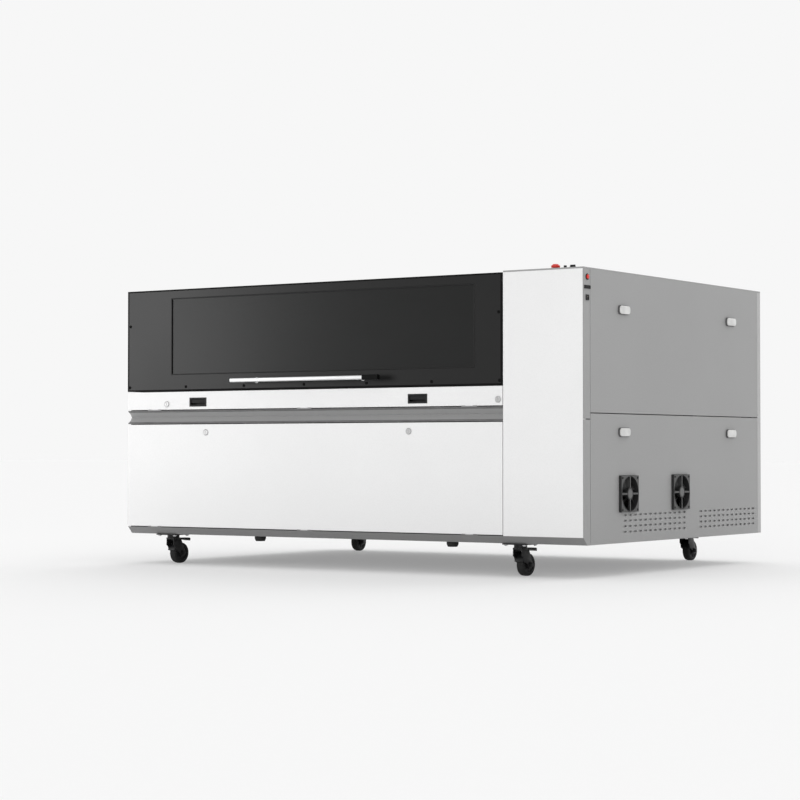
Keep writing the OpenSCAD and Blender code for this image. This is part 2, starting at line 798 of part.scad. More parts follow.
// Bar handle with rounded edges, on two posts
module lid_handle() color(alloy) {
    half = handle_len / 2;
    translate([handle_x, y_front - handle_gap - bar_d, handle_z - bar_t / 2]) {
        for (y = [bar_edge, bar_d - bar_edge], z = [bar_edge, bar_t - bar_edge])
            translate([0, y, z]) rod_x(-half, half, bar_edge);
        block([-half, bar_edge, 0], [half, bar_d - bar_edge, bar_t]);
        block([-half, 0, bar_edge], [half, bar_d, bar_t - bar_edge]);
    }
    for (s = [-1, 1]) translate([handle_x + s * handle_posts / 2, y_front - weld, handle_z])
        rotate([90, 0, 0]) cylinder(r = handle_post_r, h = handle_gap - 2 * weld);
}

// Gas struts, tilted about the lower pivot
module along_strut() for (x = strut_xs) translate([x, strut_foot_y, strut_foot_z])
    rotate([-strut_tilt, 0, 0]) children();
module strut_cylinders() color(black) along_strut() difference() {
    union() {
        rod_x(-strut_eye_t / 2, strut_eye_t / 2, strut_eye_r);
        cylinder(r = strut_r, h = strut_body);
    }
    rod_x(-strut_r - eps, strut_r + eps, strut_pin + run);
    translate([0, 0, 3 * strut_eye_r]) cylinder(r = strut_rod_r + run, h = strut_body);
}
module strut_rods() color(steel) along_strut() {
    translate([0, 0, 4 * strut_eye_r])
        cylinder(r = strut_rod_r, h = strut_len - 5 * strut_eye_r + eps);
    translate([0, 0, strut_len]) ring_x(-strut_eye_t / 2, strut_eye_t / 2, strut_eye_r, strut_pin + run);
}

// Flap under the hood, with the holes of its latches and locks
latch_xs = [x_left + latch_in, front_x1 - latch_in];
latch_drop = 6;
latch_z = (flap_z0 + flap_z1) / 2 - latch_drop;
cup_lip = 4;
cup_lip_t = 1.5;
cup_wall = 2;
cup_d = 15.5;
cup_w = latch_w - 2 * cup_lip;
cup_h = latch_h - 2 * cup_lip;
flap_lock_xs = [x_left + flap_lock_left_x, x_col - flap_lock_right_x];
flap_lock_z = z_groove1 + flap_lock_h;
lock_shank = 8;
module front_hole(x, z, r) translate([x, y_front, z]) rotate([90, 0, 0])
    cylinder(r = r, h = 2 * fold, center = true);

// A box in the front, centred on a place and given by its width, height and two depths
module front_box(x, z, w, h, y0, y1)
    block([x - w / 2, y_front + y0, z - h / 2], [x + w / 2, y_front + y1, z + h / 2]);

module flap_panel() color(white) difference() {
    union() {
        difference() {
            front_tray(x_left, x_col - seam, flap_z0, flap_z1, flap_fold);
            at_front_hinges(z_groove1) hinge_end_room();
            for (x = latch_xs) front_box(x, latch_z, cup_w + 2 * pass, cup_h + 2 * pass, -eps, 2 * sheet);
            for (x = flap_lock_xs) front_hole(x, flap_lock_z, lock_shank + run);
        }
        at_front_hinges(z_groove1) hinge_eye();
    }
    at_front_hinges(z_groove1) hinge_bore();
}

// Flush latch cups: a lip on the panel's face and a pocket behind it, with bores for the paddle's pins
paddle_w = cup_w - 2 * cup_wall - 2 * pass;
paddle_h = 11;
paddle_t = 3;
paddle_pin = 1.5;
paddle_pin_len = 1.4;
paddle_in = 2.5;
paddle_y = y_front + paddle_in;
paddle_top = 2.2;
paddle_z = latch_z + cup_h / 2 - cup_wall - paddle_top;
module latch_cups() color(black) for (x = latch_xs) difference() {
    union() {
        front_box(x, latch_z, latch_w, latch_h, -cup_lip_t, 0);
        front_box(x, latch_z, cup_w, cup_h, -eps, cup_d);
    }
    front_box(x, latch_z, cup_w - 2 * cup_wall, cup_h - 2 * cup_wall, -2 * cup_lip_t, cup_d - cup_wall);
    translate([x, paddle_y, paddle_z]) rod_x(-cup_w / 2 + pass, cup_w / 2 - pass, paddle_pin + run);
}
module latch_paddle(x) color(hood_grey) translate([x, paddle_y, paddle_z]) {
    rod_x(-paddle_w / 2 - paddle_pin_len, paddle_w / 2 + paddle_pin_len, paddle_pin);
    block([-paddle_w / 2, -paddle_t / 2, -paddle_h], [paddle_w / 2, paddle_t / 2, 0]);
}

// Round lock: a slotted head, a shank through the panel and a cam behind it
lock_head = 3;
lock_cut = 1;
lock_depth = 8;
lock_cam = [10, 27];
module round_lock(x, z) color(steel) translate([x, y_front, z]) rotate([90, 0, 0]) {
    difference() {
        rotate_extrude() polygon([
            [0, -lock_depth], [lock_shank, -lock_depth], [lock_shank, weld], [lock_r, weld],
            [lock_r, lock_head - lock_cut], [lock_r - lock_cut, lock_head], [0, lock_head]]);
        translate([-lock_cut, -lock_r / 2, lock_head - lock_cut]) cube([2 * lock_cut, lock_r, 2 * lock_cut]);
    }
    translate([-lock_cam[0] / 2, -lock_cam[0] / 2, -lock_depth - cam_t])
        cube([lock_cam[0], lock_cam[1], cam_t]);
}

// Drop-down door under the groove
door_lock_xs = [x_left + door_lock_in, front_x1 - door_lock_in];
door_lock_z = door_z1 - door_lock_drop;
module front_door() color(white) difference() {
    union() {
        difference() {
            front_tray(x_left, x_col - seam, door_z0, door_z1);
            at_front_hinges(z_bevel) hinge_end_room();
            for (x = door_lock_xs) front_hole(x, door_lock_z, lock_shank + run);
        }
        at_front_hinges(z_bevel) hinge_eye();
    }
    at_front_hinges(z_bevel) hinge_bore();
}

// Oblong turn latch: a grip with rounded corners on a shank, with a cam behind the panel
module turn_latch(y, z) color(steel) translate([x_right, y, z]) {
    half = turn_len / 2 - turn_round;
    high = turn_t / 2 - turn_round;
    block([weld, -half, -turn_t / 2], [turn_h, half, turn_t / 2]);
    block([weld, -turn_len / 2, -high], [turn_h, turn_len / 2, high]);
    for (a = [-1, 1], b = [-1, 1]) translate([0, a * half, b * high]) rod_x(weld, turn_h, turn_round);
    rod_x(-fold / 2, eps, turn_shank);
    block([-fold / 2 - cam_t, -turn_cam[0] / 2, -turn_cam[1] / 2],
        [-fold / 2, turn_cam[0] / 2, turn_cam[1] / 2]);
}

// Fans: a square frame with a round throat; four ribs at the outer face hold the motor's hub and shaft,
// and the rotor turns on the shaft behind them
module fan_frames() color(black) for (y = fan_y) translate([0, y, z_low + fan_z]) {
    hole = fan_w / 2 - fan_hole_in;
    difference() {
        block([fan_x0, -fan_w / 2, -fan_w / 2], [fan_x1, fan_w / 2, fan_w / 2]);
        rod_x(fan_x0 - eps, fan_x1 + eps, fan_bore);
        for (a = [-1, 1], b = [-1, 1]) translate([0, a * hole, b * hole])
            rod_x(fan_x0 - eps, fan_x1 + eps, fan_hole_r);
    }
    rod_x(fan_x1 - fan_rib, fan_x1, fan_hub);
    for (a = [0, 90]) rotate([a, 0, 0])
        block([fan_x1 - fan_rib, -fan_rib_w / 2, -fan_bore - eps],
            [fan_x1, fan_rib_w / 2, fan_bore + eps]);
    rod_x(fan_x0 + fan_rib, fan_x1 - fan_rib + eps, fan_shaft);
}
// A blade's section: an arc of even thickness, as wide as the chord
module blade_section() translate([-fan_camber, 0]) intersection() {
    difference() {
        circle(r = fan_camber + fan_blade_t / 2);
        circle(r = fan_camber - fan_blade_t / 2);
    }
    translate([0, -fan_chord / 2]) square([2 * fan_camber, fan_chord]);
}
module fan_rotor(y) color(black) translate([0, y, z_low + fan_z]) {
    x0 = fan_x0 + fan_rotor_gap;
    x1 = fan_x1 - fan_rib - fan_rotor_gap;
    difference() {
        union() {
            rod_x(x0, x1, fan_hub - fan_rotor_gap);
            intersection() {
                rod_x(x0, x1, fan_tip);
                for (i = [0 : blades - 1]) rotate([i * 360 / blades, 0, 0])
                    translate([(x0 + x1) / 2, 0, fan_hub - fan_rib]) rotate([0, 0, fan_lean])
                    linear_extrude(fan_bore) blade_section();
            }
        }
        rod_x(x0 + fan_blade_t, x1 + eps, fan_shaft + run);
    }
}

// Collars, pilot and sockets of the roof and the corner post
module roof_collar(x, r) translate([x, control_y, roof_z]) difference() {
    cylinder(r = r, h = collar_t);
    translate([0, 0, -eps]) cylinder(r = stop_stem + pass, h = collar_t + 2 * eps);
}
module panel_fittings() color(black) {
    roof_collar(stop_x, stop_r - eps);
    roof_collar(key_x, key_r + 2 * eps);
    translate([pilot_x, control_y, roof_z]) cylinder(r = pilot_r, h = pilot_h);
    translate([x_right, post_mid_y, red_z])
        ring_x(0, fitting_proud - eps, red_r + fitting_proud, red_r + pass);
    for (s = [socket_flat, socket_tall]) translate([x_right, post_mid_y, s[2]]) difference() {
        block([0, -s[0] / 2, -s[1] / 2], [fitting_proud, s[0] / 2, s[1] / 2]);
        block([socket_floor, -s[0] / 2 + socket_rim, -s[1] / 2 + socket_rim],
            [fitting_proud + eps, s[0] / 2 - socket_rim, s[1] / 2 - socket_rim]);
    }
}

// Mushroom button, key switch and the red push button
module estop_button() color(red) translate([stop_x, control_y, roof_z]) {
    low = collar_t + stop_travel + control_gap;
    rotate_extrude() polygon(concat(
        [[0, -control_in], [stop_stem, -control_in], [stop_stem, low], [stop_r - eps, low]],
        [for (a = [0 : 15 : 75]) [stop_r * cos(a), low + stop_side + stop_dome * sin(a)]],
        [[0, low + stop_side + stop_dome]]));
}
module key_switch() color(black) translate([key_x, control_y, roof_z]) {
    low = collar_t + control_gap;
    translate([0, 0, -control_in]) cylinder(r = stop_stem, h = control_in + low);
    translate([0, 0, low]) cylinder(r = key_r, h = key_plate);
    block([-key_bow[0] / 2, -key_bow[1] / 2, low],
        [key_bow[0] / 2, key_bow[1] / 2, low + key_plate + key_bow[2]]);
}
module red_button() color(red) translate([x_right, post_mid_y, red_z]) rotate([0, 90, 0]) {
    top = fitting_proud + red_travel;
    rotate_extrude() polygon([[0, -control_in], [red_r, -control_in], [red_r, top - eps], [red_r - eps, top],
        [0, top + control_gap]]);
}

// Enclosed linear modules on the deck rails
module linear_modules() color(alloy) for (x = module_xs)
    translate([x, bed_y0 + module_end, deck_z + tube]) difference() {
    union() {
        block([-module_w / 2, 0, 0], [module_w / 2, module_len, module_h - module_cap]);
        for (s = [-1, 1]) block([s * module_rail_x - module_rail / 2, 0, 0],
            [s * module_rail_x + module_rail / 2, module_len, module_h]);
    }
    for (s = [-1, 1]) translate([s * module_w / 2, -eps, module_h / 2]) rotate([-90, 0, 0])
        cylinder(r = module_groove_r, h = module_len + 2 * eps);
}

// Bed: four rails bolted between the deck rails, slotted for the slats
slat_x0 = (bed_x0 + bed_x1) / 2 - (slat_n - 1) * slat_pitch / 2;
module bed_frame() color(dark_grey) {
    for (x = [bed_x0, bed_x1 - bed_rail]) block([x, bed_y0, bed_z0], [x + bed_rail, bed_y1, bed_z1]);
    for (y = [bed_y0, bed_y1 - bed_rail]) difference() {
        block([bed_x0 + bed_rail + weld, y, bed_z0], [bed_x1 - bed_rail - weld, y + bed_rail, bed_z1]);
        for (i = [0 : slat_n - 1])
            block([slat_x0 + i * slat_pitch - slat_t / 2 - slat_room, y - eps, slat_z0 - weld],
                [slat_x0 + i * slat_pitch + slat_t / 2 + slat_room, y + bed_rail + eps, bed_z1 + eps]);
    }
}
module bed_slats() color(steel) {
    teeth = floor((bed_y1 - bed_y0) / tooth_pitch);
    step = (bed_y1 - bed_y0) / teeth;
    for (i = [0 : slat_n - 1])
        along_x(slat_x0 + i * slat_pitch - slat_t / 2, slat_x0 + i * slat_pitch + slat_t / 2)
        polygon(concat(
            [[bed_y1, slat_z0], [bed_y0, slat_z0]],
            [for (k = [0 : teeth - 1], p = [[0, -tooth_h], [step / 2, 0]])
                [bed_y0 + k * step + p[0], slat_z1 + p[1]]],
            [[bed_y1, slat_z1 - tooth_h]]));
}

// Waste tray on the frame's runners
module waste_tray() color(grey) {
    x0 = bed_x0 + tray_margin;
    x1 = bed_x1 - tray_margin;
    y0 = bed_y0 + tray_margin;
    y1 = bed_y1 - tray_margin;
    z0 = frame_z0 + tube + weld;
    difference() {
        block([x0, y0, z0], [x1, y1, z0 + tray_h]);
        block([x0 + sheet, y0 + sheet, z0 + sheet], [x1 - sheet, y1 - sheet, z0 + tray_h + eps]);
    }
}

// Gantry: a box beam with two guide rails, on a leg and a saddle at each end, and its motor
rail_zs = [rail_edge, beam_h - rail_edge - rail_w];
module gantry_beam() color(alloy) {
    saddle_z = deck_z + tube + module_h + saddle_gap;
    x0 = module_xs[0] - module_w / 2;
    x1 = module_xs[1] + module_w / 2;
    y0 = beam_y - beam_d / 2;
    y1 = beam_y + beam_d / 2;
    difference() {
        union() {
            block([x0, y0, beam_z], [x1, y1, beam_z + beam_h]);
            for (z = rail_zs) block([x0 + module_w, y0 - rail_d, beam_z + z],
                [x1 - module_w, y0 + eps, beam_z + z + rail_w]);
        }
        block([x0 + beam_wall, y0 + beam_wall, beam_z + beam_wall],
            [x1 - beam_wall, y1 - beam_wall, beam_z + beam_h - beam_wall]);
    }
    for (x = module_xs) translate([x, beam_y, 0]) {
        block([-module_w / 2, -saddle_len / 2, saddle_z],
            [module_w / 2, saddle_len / 2, saddle_z + saddle_t]);
        block([-module_w / 2 + leg_in, -beam_d / 2 + leg_in, saddle_z + saddle_t - eps],
            [module_w / 2 - leg_in, beam_d / 2 - leg_in, beam_z - weld]);
    }
    translate([x1 - beam_motor_x, beam_y, beam_z + beam_h + weld]) {
        block([-beam_motor_w / 2, -beam_motor_w / 2, 0], [beam_motor_w / 2, beam_motor_w / 2, beam_motor_h]);
        cylinder(r = beam_motor_cap[0], h = beam_motor_cap[1]);
    }
}

// Carriage that runs on the beam's rails, with upright rails for the head and their motor
module cross_carriage() color(dark_grey) translate([mid_x, beam_y - beam_d / 2 - rail_d, beam_z]) {
    gap = saddle_gap;
    top = beam_h + carriage_rise;
    difference() {
        block([-carriage_w / 2, -carriage_t, -carriage_low], [carriage_w / 2, rail_d - 2 * eps, top]);
        for (z = rail_zs) block([-carriage_w, -gap, z - gap], [carriage_w, rail_d, z + rail_w + gap]);
        block([-carriage_w, -eps / 2, beam_h + 2 * eps], [carriage_w, rail_d, top + eps]);
    }
    for (s = [-1, 1]) block([s * head_rail_x - head_rail_w / 2, -carriage_t - head_rail_d, 0],
        [s * head_rail_x + head_rail_w / 2, -carriage_t + eps, beam_h + head_rail_h]);
    translate([0, -carriage_t, top]) block([-carriage_motor[0] / 2, 0, -eps],
        [carriage_motor[0] / 2, carriage_motor[1], carriage_motor[2]]);
}

// Plate that slides on the carriage's upright rails and holds the head in a yoke
module head_slide() color(alloy) translate([mid_x, beam_y - beam_d / 2 - rail_d - carriage_t, z_head]) {
    gap = saddle_gap;
    face = -head_rail_d - slide_t;
    room = head_w1 + 2 * weld;
    difference() {
        block([-slide_w / 2, face, slide_z[0]], [slide_w / 2, -slide_gap, slide_z[1]]);
        for (s = [-1, 1]) block([s * head_rail_x - head_rail_w / 2 - gap, -head_rail_d - gap, 0],
            [s * head_rail_x + head_rail_w / 2 + gap, 0, slide_z[1] + eps]);
    }
    difference() {
        block([-yoke_w / 2, -head_axis_gap - yoke_reach, yoke_z[0]], [yoke_w / 2, face + eps, yoke_z[1]]);
        translate([-room / 2, -head_axis_gap - room / 2, yoke_z[0] - eps])
            cube([room, room, yoke_z[1] - yoke_z[0] + 2 * eps]);
    }
}

// The cutting head, from the top down
module at_head(z) translate([mid_x, head_y, z]) children();
module head_side() rotate([90, 0, 0]) linear_extrude(2 * head_w1, center = true) polygon([
    [-head_w0 / 2, 0], [head_w0 / 2, 0], [head_w1 / 2, head_taper], [head_w1 / 2, head_h],
    [-head_w1 / 2, head_h], [-head_w1 / 2, head_taper]]);
module head_body() color(black) at_head(z_head) {
    intersection() {
        head_side();
        rotate([0, 0, 90]) head_side();
    }
    translate([0, 0, head_h - eps]) cylinder(r = cap_r, h = cap_h);
}
module clamp_collar() color(black) at_head(z_collar) difference() {
    union() {
        cylinder(r = collar_r, h = collar_h);
        block([0, -collar_r + lug_edge, 0], [collar_r + lug, -lug_edge / 2, collar_h]);
    }
    translate([0, 0, -eps]) cylinder(r = stem_r + weld, h = collar_h + 2 * eps);
    translate([collar_r + lug / 2, -collar_r + lug_edge + lug_bolt, collar_h / 2]) rotate([90, 0, 0])
        cylinder(r = lug_bolt, h = 2 * lug_bolt);
}
module sensor_arm() color(alloy) at_head(z_arm) {
    top = cone_h + arm_h;
    end_r = arm_r - arm_narrow;
    rotate_extrude() polygon([
        [0, weld], [ring_r, weld], [ring_r, edge_cut], [cone_r - arm_narrow, edge_cut + eps],
        [cone_r, cone_h], [arm_r, cone_h], [arm_r, top], [stem_r + stem_step, top],
        [stem_r + stem_step, top + stem_step], [stem_r, top + stem_step], [stem_r, top + stem_h - weld],
        [0, top + stem_h - weld]]);
    translate([-arm_len, 0, cone_h]) {
        cylinder(r = end_r, h = arm_h);
        translate([0, 0, arm_h - eps]) cylinder(r = stub_r, h = stub_h + eps);
    }
    block([-arm_len, -end_r, cone_h], [0, end_r, top]);
}
module nozzle_nut() color(steel) at_head(z_nut) rotate_extrude() polygon([
    [0, weld], [nut_r - edge_cut, weld], [nut_r, edge_cut], [nut_r, nut_h - edge_cut],
    [nut_r - edge_cut, nut_h], [0, nut_h]]);
module ceramic_ring() color(ceramic) at_head(z_ring) rotate_extrude() polygon([
    [0, weld], [flange_r, weld], [flange_r, edge_cut], [ring_r, 2 * edge_cut], [ring_r, ring_h - eps],
    [ring_r - eps, ring_h], [0, ring_h]]);
module copper_nozzle() color(copper) at_head(head_tip_z) rotate_extrude() polygon([
    [nozzle_bore, 0], [tip_r - eps, 0], [tip_r, 2 * eps], [tip_r, tip_h - edge_cut],
    [flange_r - edge_cut, tip_h], [flange_r, tip_h + 2 * eps], [flange_r, tip_h + flange_h],
    [nozzle_bore, tip_h + flange_h]]);

// Casters: fixed plates with the race and kingpin, swivel forks with axle and brake pedal, and wheels
module at_caster(c) translate([c[0], c[1], 0]) rotate([0, 0, c[2]]) children();
module caster_plates() color(black) for (c = caster_at) translate([c[0], c[1], 0]) {
    block([-plate_w / 2, -plate_w / 2, ground - plate_t], [plate_w / 2, plate_w / 2, ground]);
    translate([0, 0, ground - plate_t - race_h]) cylinder(r = race_r, h = race_h + eps);
    translate([0, 0, fork_top - fork_t - kingpin_end])
        cylinder(r = kingpin_r, h = race_h + fork_t + kingpin_end + eps);
}
module caster_fork(c) color(black) at_caster(c) {
    inner = wheel_w / 2 + leg_gap;
    outer = inner + leg_t;
    difference() {
        union() {
            translate([0, 0, fork_top - fork_t]) cylinder(r = fork_r, h = fork_t);
            block([-outer, fork_y[0], fork_top - fork_t], [outer, fork_y[1], fork_top]);
            block([-outer, fork_y[0], fork_top - fork_guard], [outer, fork_y[0] + leg_t, fork_top]);
        }
        translate([0, 0, fork_top - fork_t - eps]) cylinder(r = kingpin_r + run, h = fork_t + 2 * eps);
    }
    for (s = [-1, 1]) along_x(s > 0 ? inner : -outer, s > 0 ? outer : -inner) {
        polygon([
            [fork_y[0], fork_top - eps], [fork_y[1], fork_top - eps], [trail + axle_eye, wheel_r + fork_t],
            [trail + axle_eye, wheel_r], [trail - axle_eye, wheel_r], [fork_y[0], fork_top - fork_skirt]]);
        translate([trail, wheel_r]) circle(r = axle_eye);
    }
    translate([0, trail, wheel_r]) {
        rod_x(-outer - axle_nut[1], outer + axle_nut[1], axle_r);
        for (x = [-outer - axle_nut[1], outer]) rod_x(x, x + axle_nut[1], axle_nut[0]);
    }
    brake_pedal(outer);
}
module brake_pedal(outer) {
    top = fork_top - pedal_up;
    along_x(-outer + leg_t, outer - leg_t) polygon([
        [pedal_y[0], fork_top], [fork_y[1], fork_top], [trail + pedal_y[1], top], [trail + pedal_y[2], top],
        [trail + pedal_y[2], top - pedal_t[1]], [trail + pedal_y[1], top - pedal_t[0]],
        [fork_y[1], fork_top - fork_t], [pedal_y[0], fork_top - fork_t]]);
}
function wheel_side(s) = [
    [axle_r + run, s * (wheel_w / 2 + eps)], [hub_r, s * (wheel_w / 2 + eps)],
    [hub_face, s * (wheel_w / 2 - rim_in)], [wheel_r - tyre_t - 2 * eps, s * (wheel_w / 2 - rim_in)],
    [wheel_r - tyre_t, s * wheel_w / 2], [wheel_r - tyre_round[0], s * (wheel_w - eps) / 2],
    [wheel_r - eps, s * (wheel_w / 2 - tyre_round[0])], [wheel_r, s * (wheel_w / 2 - tyre_round[1])]];
module caster_wheel(c) color(black) at_caster(c) translate([0, trail, wheel_r]) rotate([0, 90, 0])
    rotate_extrude() polygon(concat(wheel_side(-1), [for (i = [7 : -1 : 0]) wheel_side(1)[i]]));

// Retracted rubber feet
module leveling_feet() color(black) for (x = foot_xs, y = foot_ys)
    translate([x, y, ground - foot_drop]) rotate_extrude()
    polygon([[0, 0], [foot_r[0], 0], [foot_r[1], foot_drop / 2], [foot_r[1], foot_drop], [0, foot_drop]]);

base_frame();
base_pan();
left_panel();
rear_panel();
roof_panels();
column_front();
corner_post();
right_upper_panel();
right_lower_panel();
groove_channel();
partition_wall();
lid_hinge_leaves();
caster_plates();
leveling_feet();
fan_frames();
linear_modules();
bed_frame();
bed_slats();
waste_tray();
panel_fittings();
lid_shell();
lid_window();
lid_handle();
strut_cylinders();
strut_rods();
flap_panel();
latch_cups();
latch_paddle(latch_xs[0]);  // latch_paddle_left
latch_paddle(latch_xs[1]);  // latch_paddle_right
round_lock(flap_lock_xs[0], flap_lock_z);  // flap_lock_left
round_lock(flap_lock_xs[1], flap_lock_z);  // flap_lock_right
front_door();
round_lock(door_lock_xs[0], door_lock_z);  // door_lock_left
round_lock(door_lock_xs[1], door_lock_z);  // door_lock_right
turn_latch(turn_y[0], turn_z[0]);  // turn_latch_lower_front
turn_latch(turn_y[1], turn_z[0]);  // turn_latch_lower_rear
turn_latch(turn_y[0], turn_z[1]);  // turn_latch_upper_front
turn_latch(turn_y[1], turn_z[1]);  // turn_latch_upper_rear
fan_rotor(fan_y[0]);  // fan_rotor_front
fan_rotor(fan_y[1]);  // fan_rotor_rear
estop_button();
key_switch();
red_button();
gantry_beam();
cross_carriage();
head_slide();
head_body();
clamp_collar();
sensor_arm();
nozzle_nut();
ceramic_ring();
copper_nozzle();
for (c = caster_at) caster_fork(c);
for (c = caster_at) caster_wheel(c);
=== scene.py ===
"""Looks of an enclosed fiber laser cutting machine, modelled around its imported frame."""

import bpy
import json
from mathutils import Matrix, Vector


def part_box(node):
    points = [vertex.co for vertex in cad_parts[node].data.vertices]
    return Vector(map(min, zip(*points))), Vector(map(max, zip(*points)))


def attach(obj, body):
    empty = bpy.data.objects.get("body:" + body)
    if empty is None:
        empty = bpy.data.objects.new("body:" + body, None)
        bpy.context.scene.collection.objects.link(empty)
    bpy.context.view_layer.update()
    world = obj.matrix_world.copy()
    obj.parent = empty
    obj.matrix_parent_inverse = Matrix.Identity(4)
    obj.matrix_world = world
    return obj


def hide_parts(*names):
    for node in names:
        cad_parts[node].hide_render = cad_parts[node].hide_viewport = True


bl_info = {
    "name": "Laser Cutting Machine",
    "version": (1, 0, 0),
    "blender": (4, 5, 0),
    "location": "View3D > Sidebar > Laser Cutter",
    "description": "Dresses the packed frame of an enclosed laser cutting machine",
    "category": "Object",
}

import json
import math

import bmesh
import bpy
from mathutils import Matrix, Vector

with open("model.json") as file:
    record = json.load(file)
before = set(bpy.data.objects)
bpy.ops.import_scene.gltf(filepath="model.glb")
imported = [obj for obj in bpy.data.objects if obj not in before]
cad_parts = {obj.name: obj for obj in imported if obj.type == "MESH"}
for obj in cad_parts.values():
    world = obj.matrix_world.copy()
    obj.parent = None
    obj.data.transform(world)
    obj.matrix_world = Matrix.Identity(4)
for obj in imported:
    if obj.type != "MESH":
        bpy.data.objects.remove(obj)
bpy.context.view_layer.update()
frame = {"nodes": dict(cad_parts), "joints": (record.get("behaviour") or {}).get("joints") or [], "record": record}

MM = 0.001
NEAR = 1e-6
TURN = 2 * math.pi
X_AXIS = Vector((1, 0, 0))
Y_AXIS = Vector((0, 1, 0))
Z_AXIS = Vector((0, 0, 1))
BOTH = (-1, 1)
CORNERS = ("front_left", "front_right", "rear_left", "rear_right")
LOCKS = ("flap_lock_left", "flap_lock_right", "door_lock_left", "door_lock_right")
TURN_LATCHES = ("turn_latch_lower_front", "turn_latch_lower_rear", "turn_latch_upper_front", "turn_latch_upper_rear")
SEEN_RAYS = ("Is Camera Ray", "Is Glossy Ray", "Is Transmission Ray")
JOINTS = {joint["name"]: joint for joint in frame["joints"]}


# Finishes

class Wire:
    """A shader socket that takes part in Python expressions."""

    def __init__(self, tree, socket):
        self.tree = tree
        self.socket = socket

    def math(self, operation, other):
        return self.tree.node("ShaderNodeMath", {"operation": operation}, {0: self, 1: other})

    def __add__(self, other):
        return self.math("ADD", other)

    def __mul__(self, other):
        return self.math("MULTIPLY", other)

    __radd__ = __add__
    __rmul__ = __mul__


class Tree:
    """A node tree that grows by one node at a time."""

    def __init__(self, tree):
        self.tree = tree

    def node(self, kind, settings=None, sockets=None, out=0):
        """Adds a node: its settings first, then the values or links of its sockets."""
        made = self.tree.nodes.new(kind)
        for key, value in (settings or {}).items():
            setattr(made, key, value)
        for key, value in (sockets or {}).items():
            self.plug(made.inputs[key], value)
        return Wire(self, made.outputs[out])

    def plug(self, socket, value):
        if isinstance(value, Wire):
            self.tree.links.new(value.socket, socket)
        else:
            socket.default_value = value

    def seen_ray(self):
        """A factor that is 1 for what the camera sees, also in metal and through glass."""
        path = self.node("ShaderNodeLightPath").socket.node
        camera, glossy, glass = (Wire(self, path.outputs[ray]) for ray in SEEN_RAYS)
        return camera.math("MAXIMUM", glossy).math("MAXIMUM", glass)

    def end(self, output, factor, plain, other):
        """Ends the tree in a mix of two shaders."""
        mixed = self.node("ShaderNodeMixShader", None, {0: factor, 1: plain, 2: other})
        self.plug(self.tree.nodes[output].inputs["Surface"], mixed)


class Finish(Tree):
    """One procedural material: its nodes, its shader and its links."""

    def __init__(self, name, **constants):
        self.material = bpy.data.materials.new(name)
        self.material.use_nodes = True
        super().__init__(self.material.node_tree)
        self.shader = self.tree.nodes["Principled BSDF"]
        self.place = self.node("ShaderNodeTexCoord", out="Object")
        for socket, value in constants.items():
            self.set(socket.replace("_", " ").title().replace("Ior", "IOR"), value)

    def set(self, socket, value):
        self.plug(self.shader.inputs[socket], value)

    def noise(self, scale, detail=3.0, roughness=0.5, stretch=None):
        """Noise on object coordinates, stretched by a scale for each axis where that is given."""
        vector = self.place
        if stretch is not None:
            vector = self.node("ShaderNodeMapping", None, {"Vector": vector, "Scale": stretch})
        sockets = {"Vector": vector, "Scale": scale, "Detail": detail, "Roughness": roughness}
        return self.node("ShaderNodeTexNoise", None, sockets, "Fac")

    def axis(self, letter):
        return self.node("ShaderNodeSeparateXYZ", None, {0: self.place}, letter)

    def mix(self, factor, a, b):
        return self.node("ShaderNodeMix", {"data_type": "RGBA"}, {0: factor, 6: a, 7: b}, 2)

    def between(self, value, low, high, to_low=0.0, to_high=1.0):
        sockets = {"Value": value, 1: low, 2: high, 3: to_low, 4: to_high}
        return self.node("ShaderNodeMapRange", {"clamp": True}, sockets, "Result")

    def tint(self, value, colour, dark, light, low=0.3, high=0.7):
        """A colour that runs between two gains as a value goes from low to high."""
        return self.mix(self.between(value, low, high), rgba(colour, dark), rgba(colour, light))

    def dull(self, value, smooth, rough, low=0.3, high=0.7):
        """Sets a roughness that runs between two levels as a value goes from low to high."""
        self.set("Roughness", self.between(value, low, high, smooth, rough))

    def round_edge(self, radius):
        """Normal of the surface with its edges rounded, and a mask of those edges."""
        soft = self.node("ShaderNodeBevel", {"samples": 6}, {"Radius": radius * MM}, "Normal")
        true = self.node("ShaderNodeNewGeometry", out="Normal")
        facing = self.node("ShaderNodeVectorMath", {"operation": "DOT_PRODUCT"}, {0: soft, 1: true}, "Value")
        return soft, self.between(facing, 0.995, 0.80)

    def bump(self, height, strength, distance, normal=None):
        sockets = {"Height": height, "Strength": strength, "Distance": distance * MM}
        if normal is not None:
            sockets["Normal"] = normal
        self.set("Normal", self.node("ShaderNodeBump", None, sockets))


def rgba(colour, gain=1.0):
    return tuple(min(1.0, channel * gain) for channel in colour[:3]) + (1.0,)


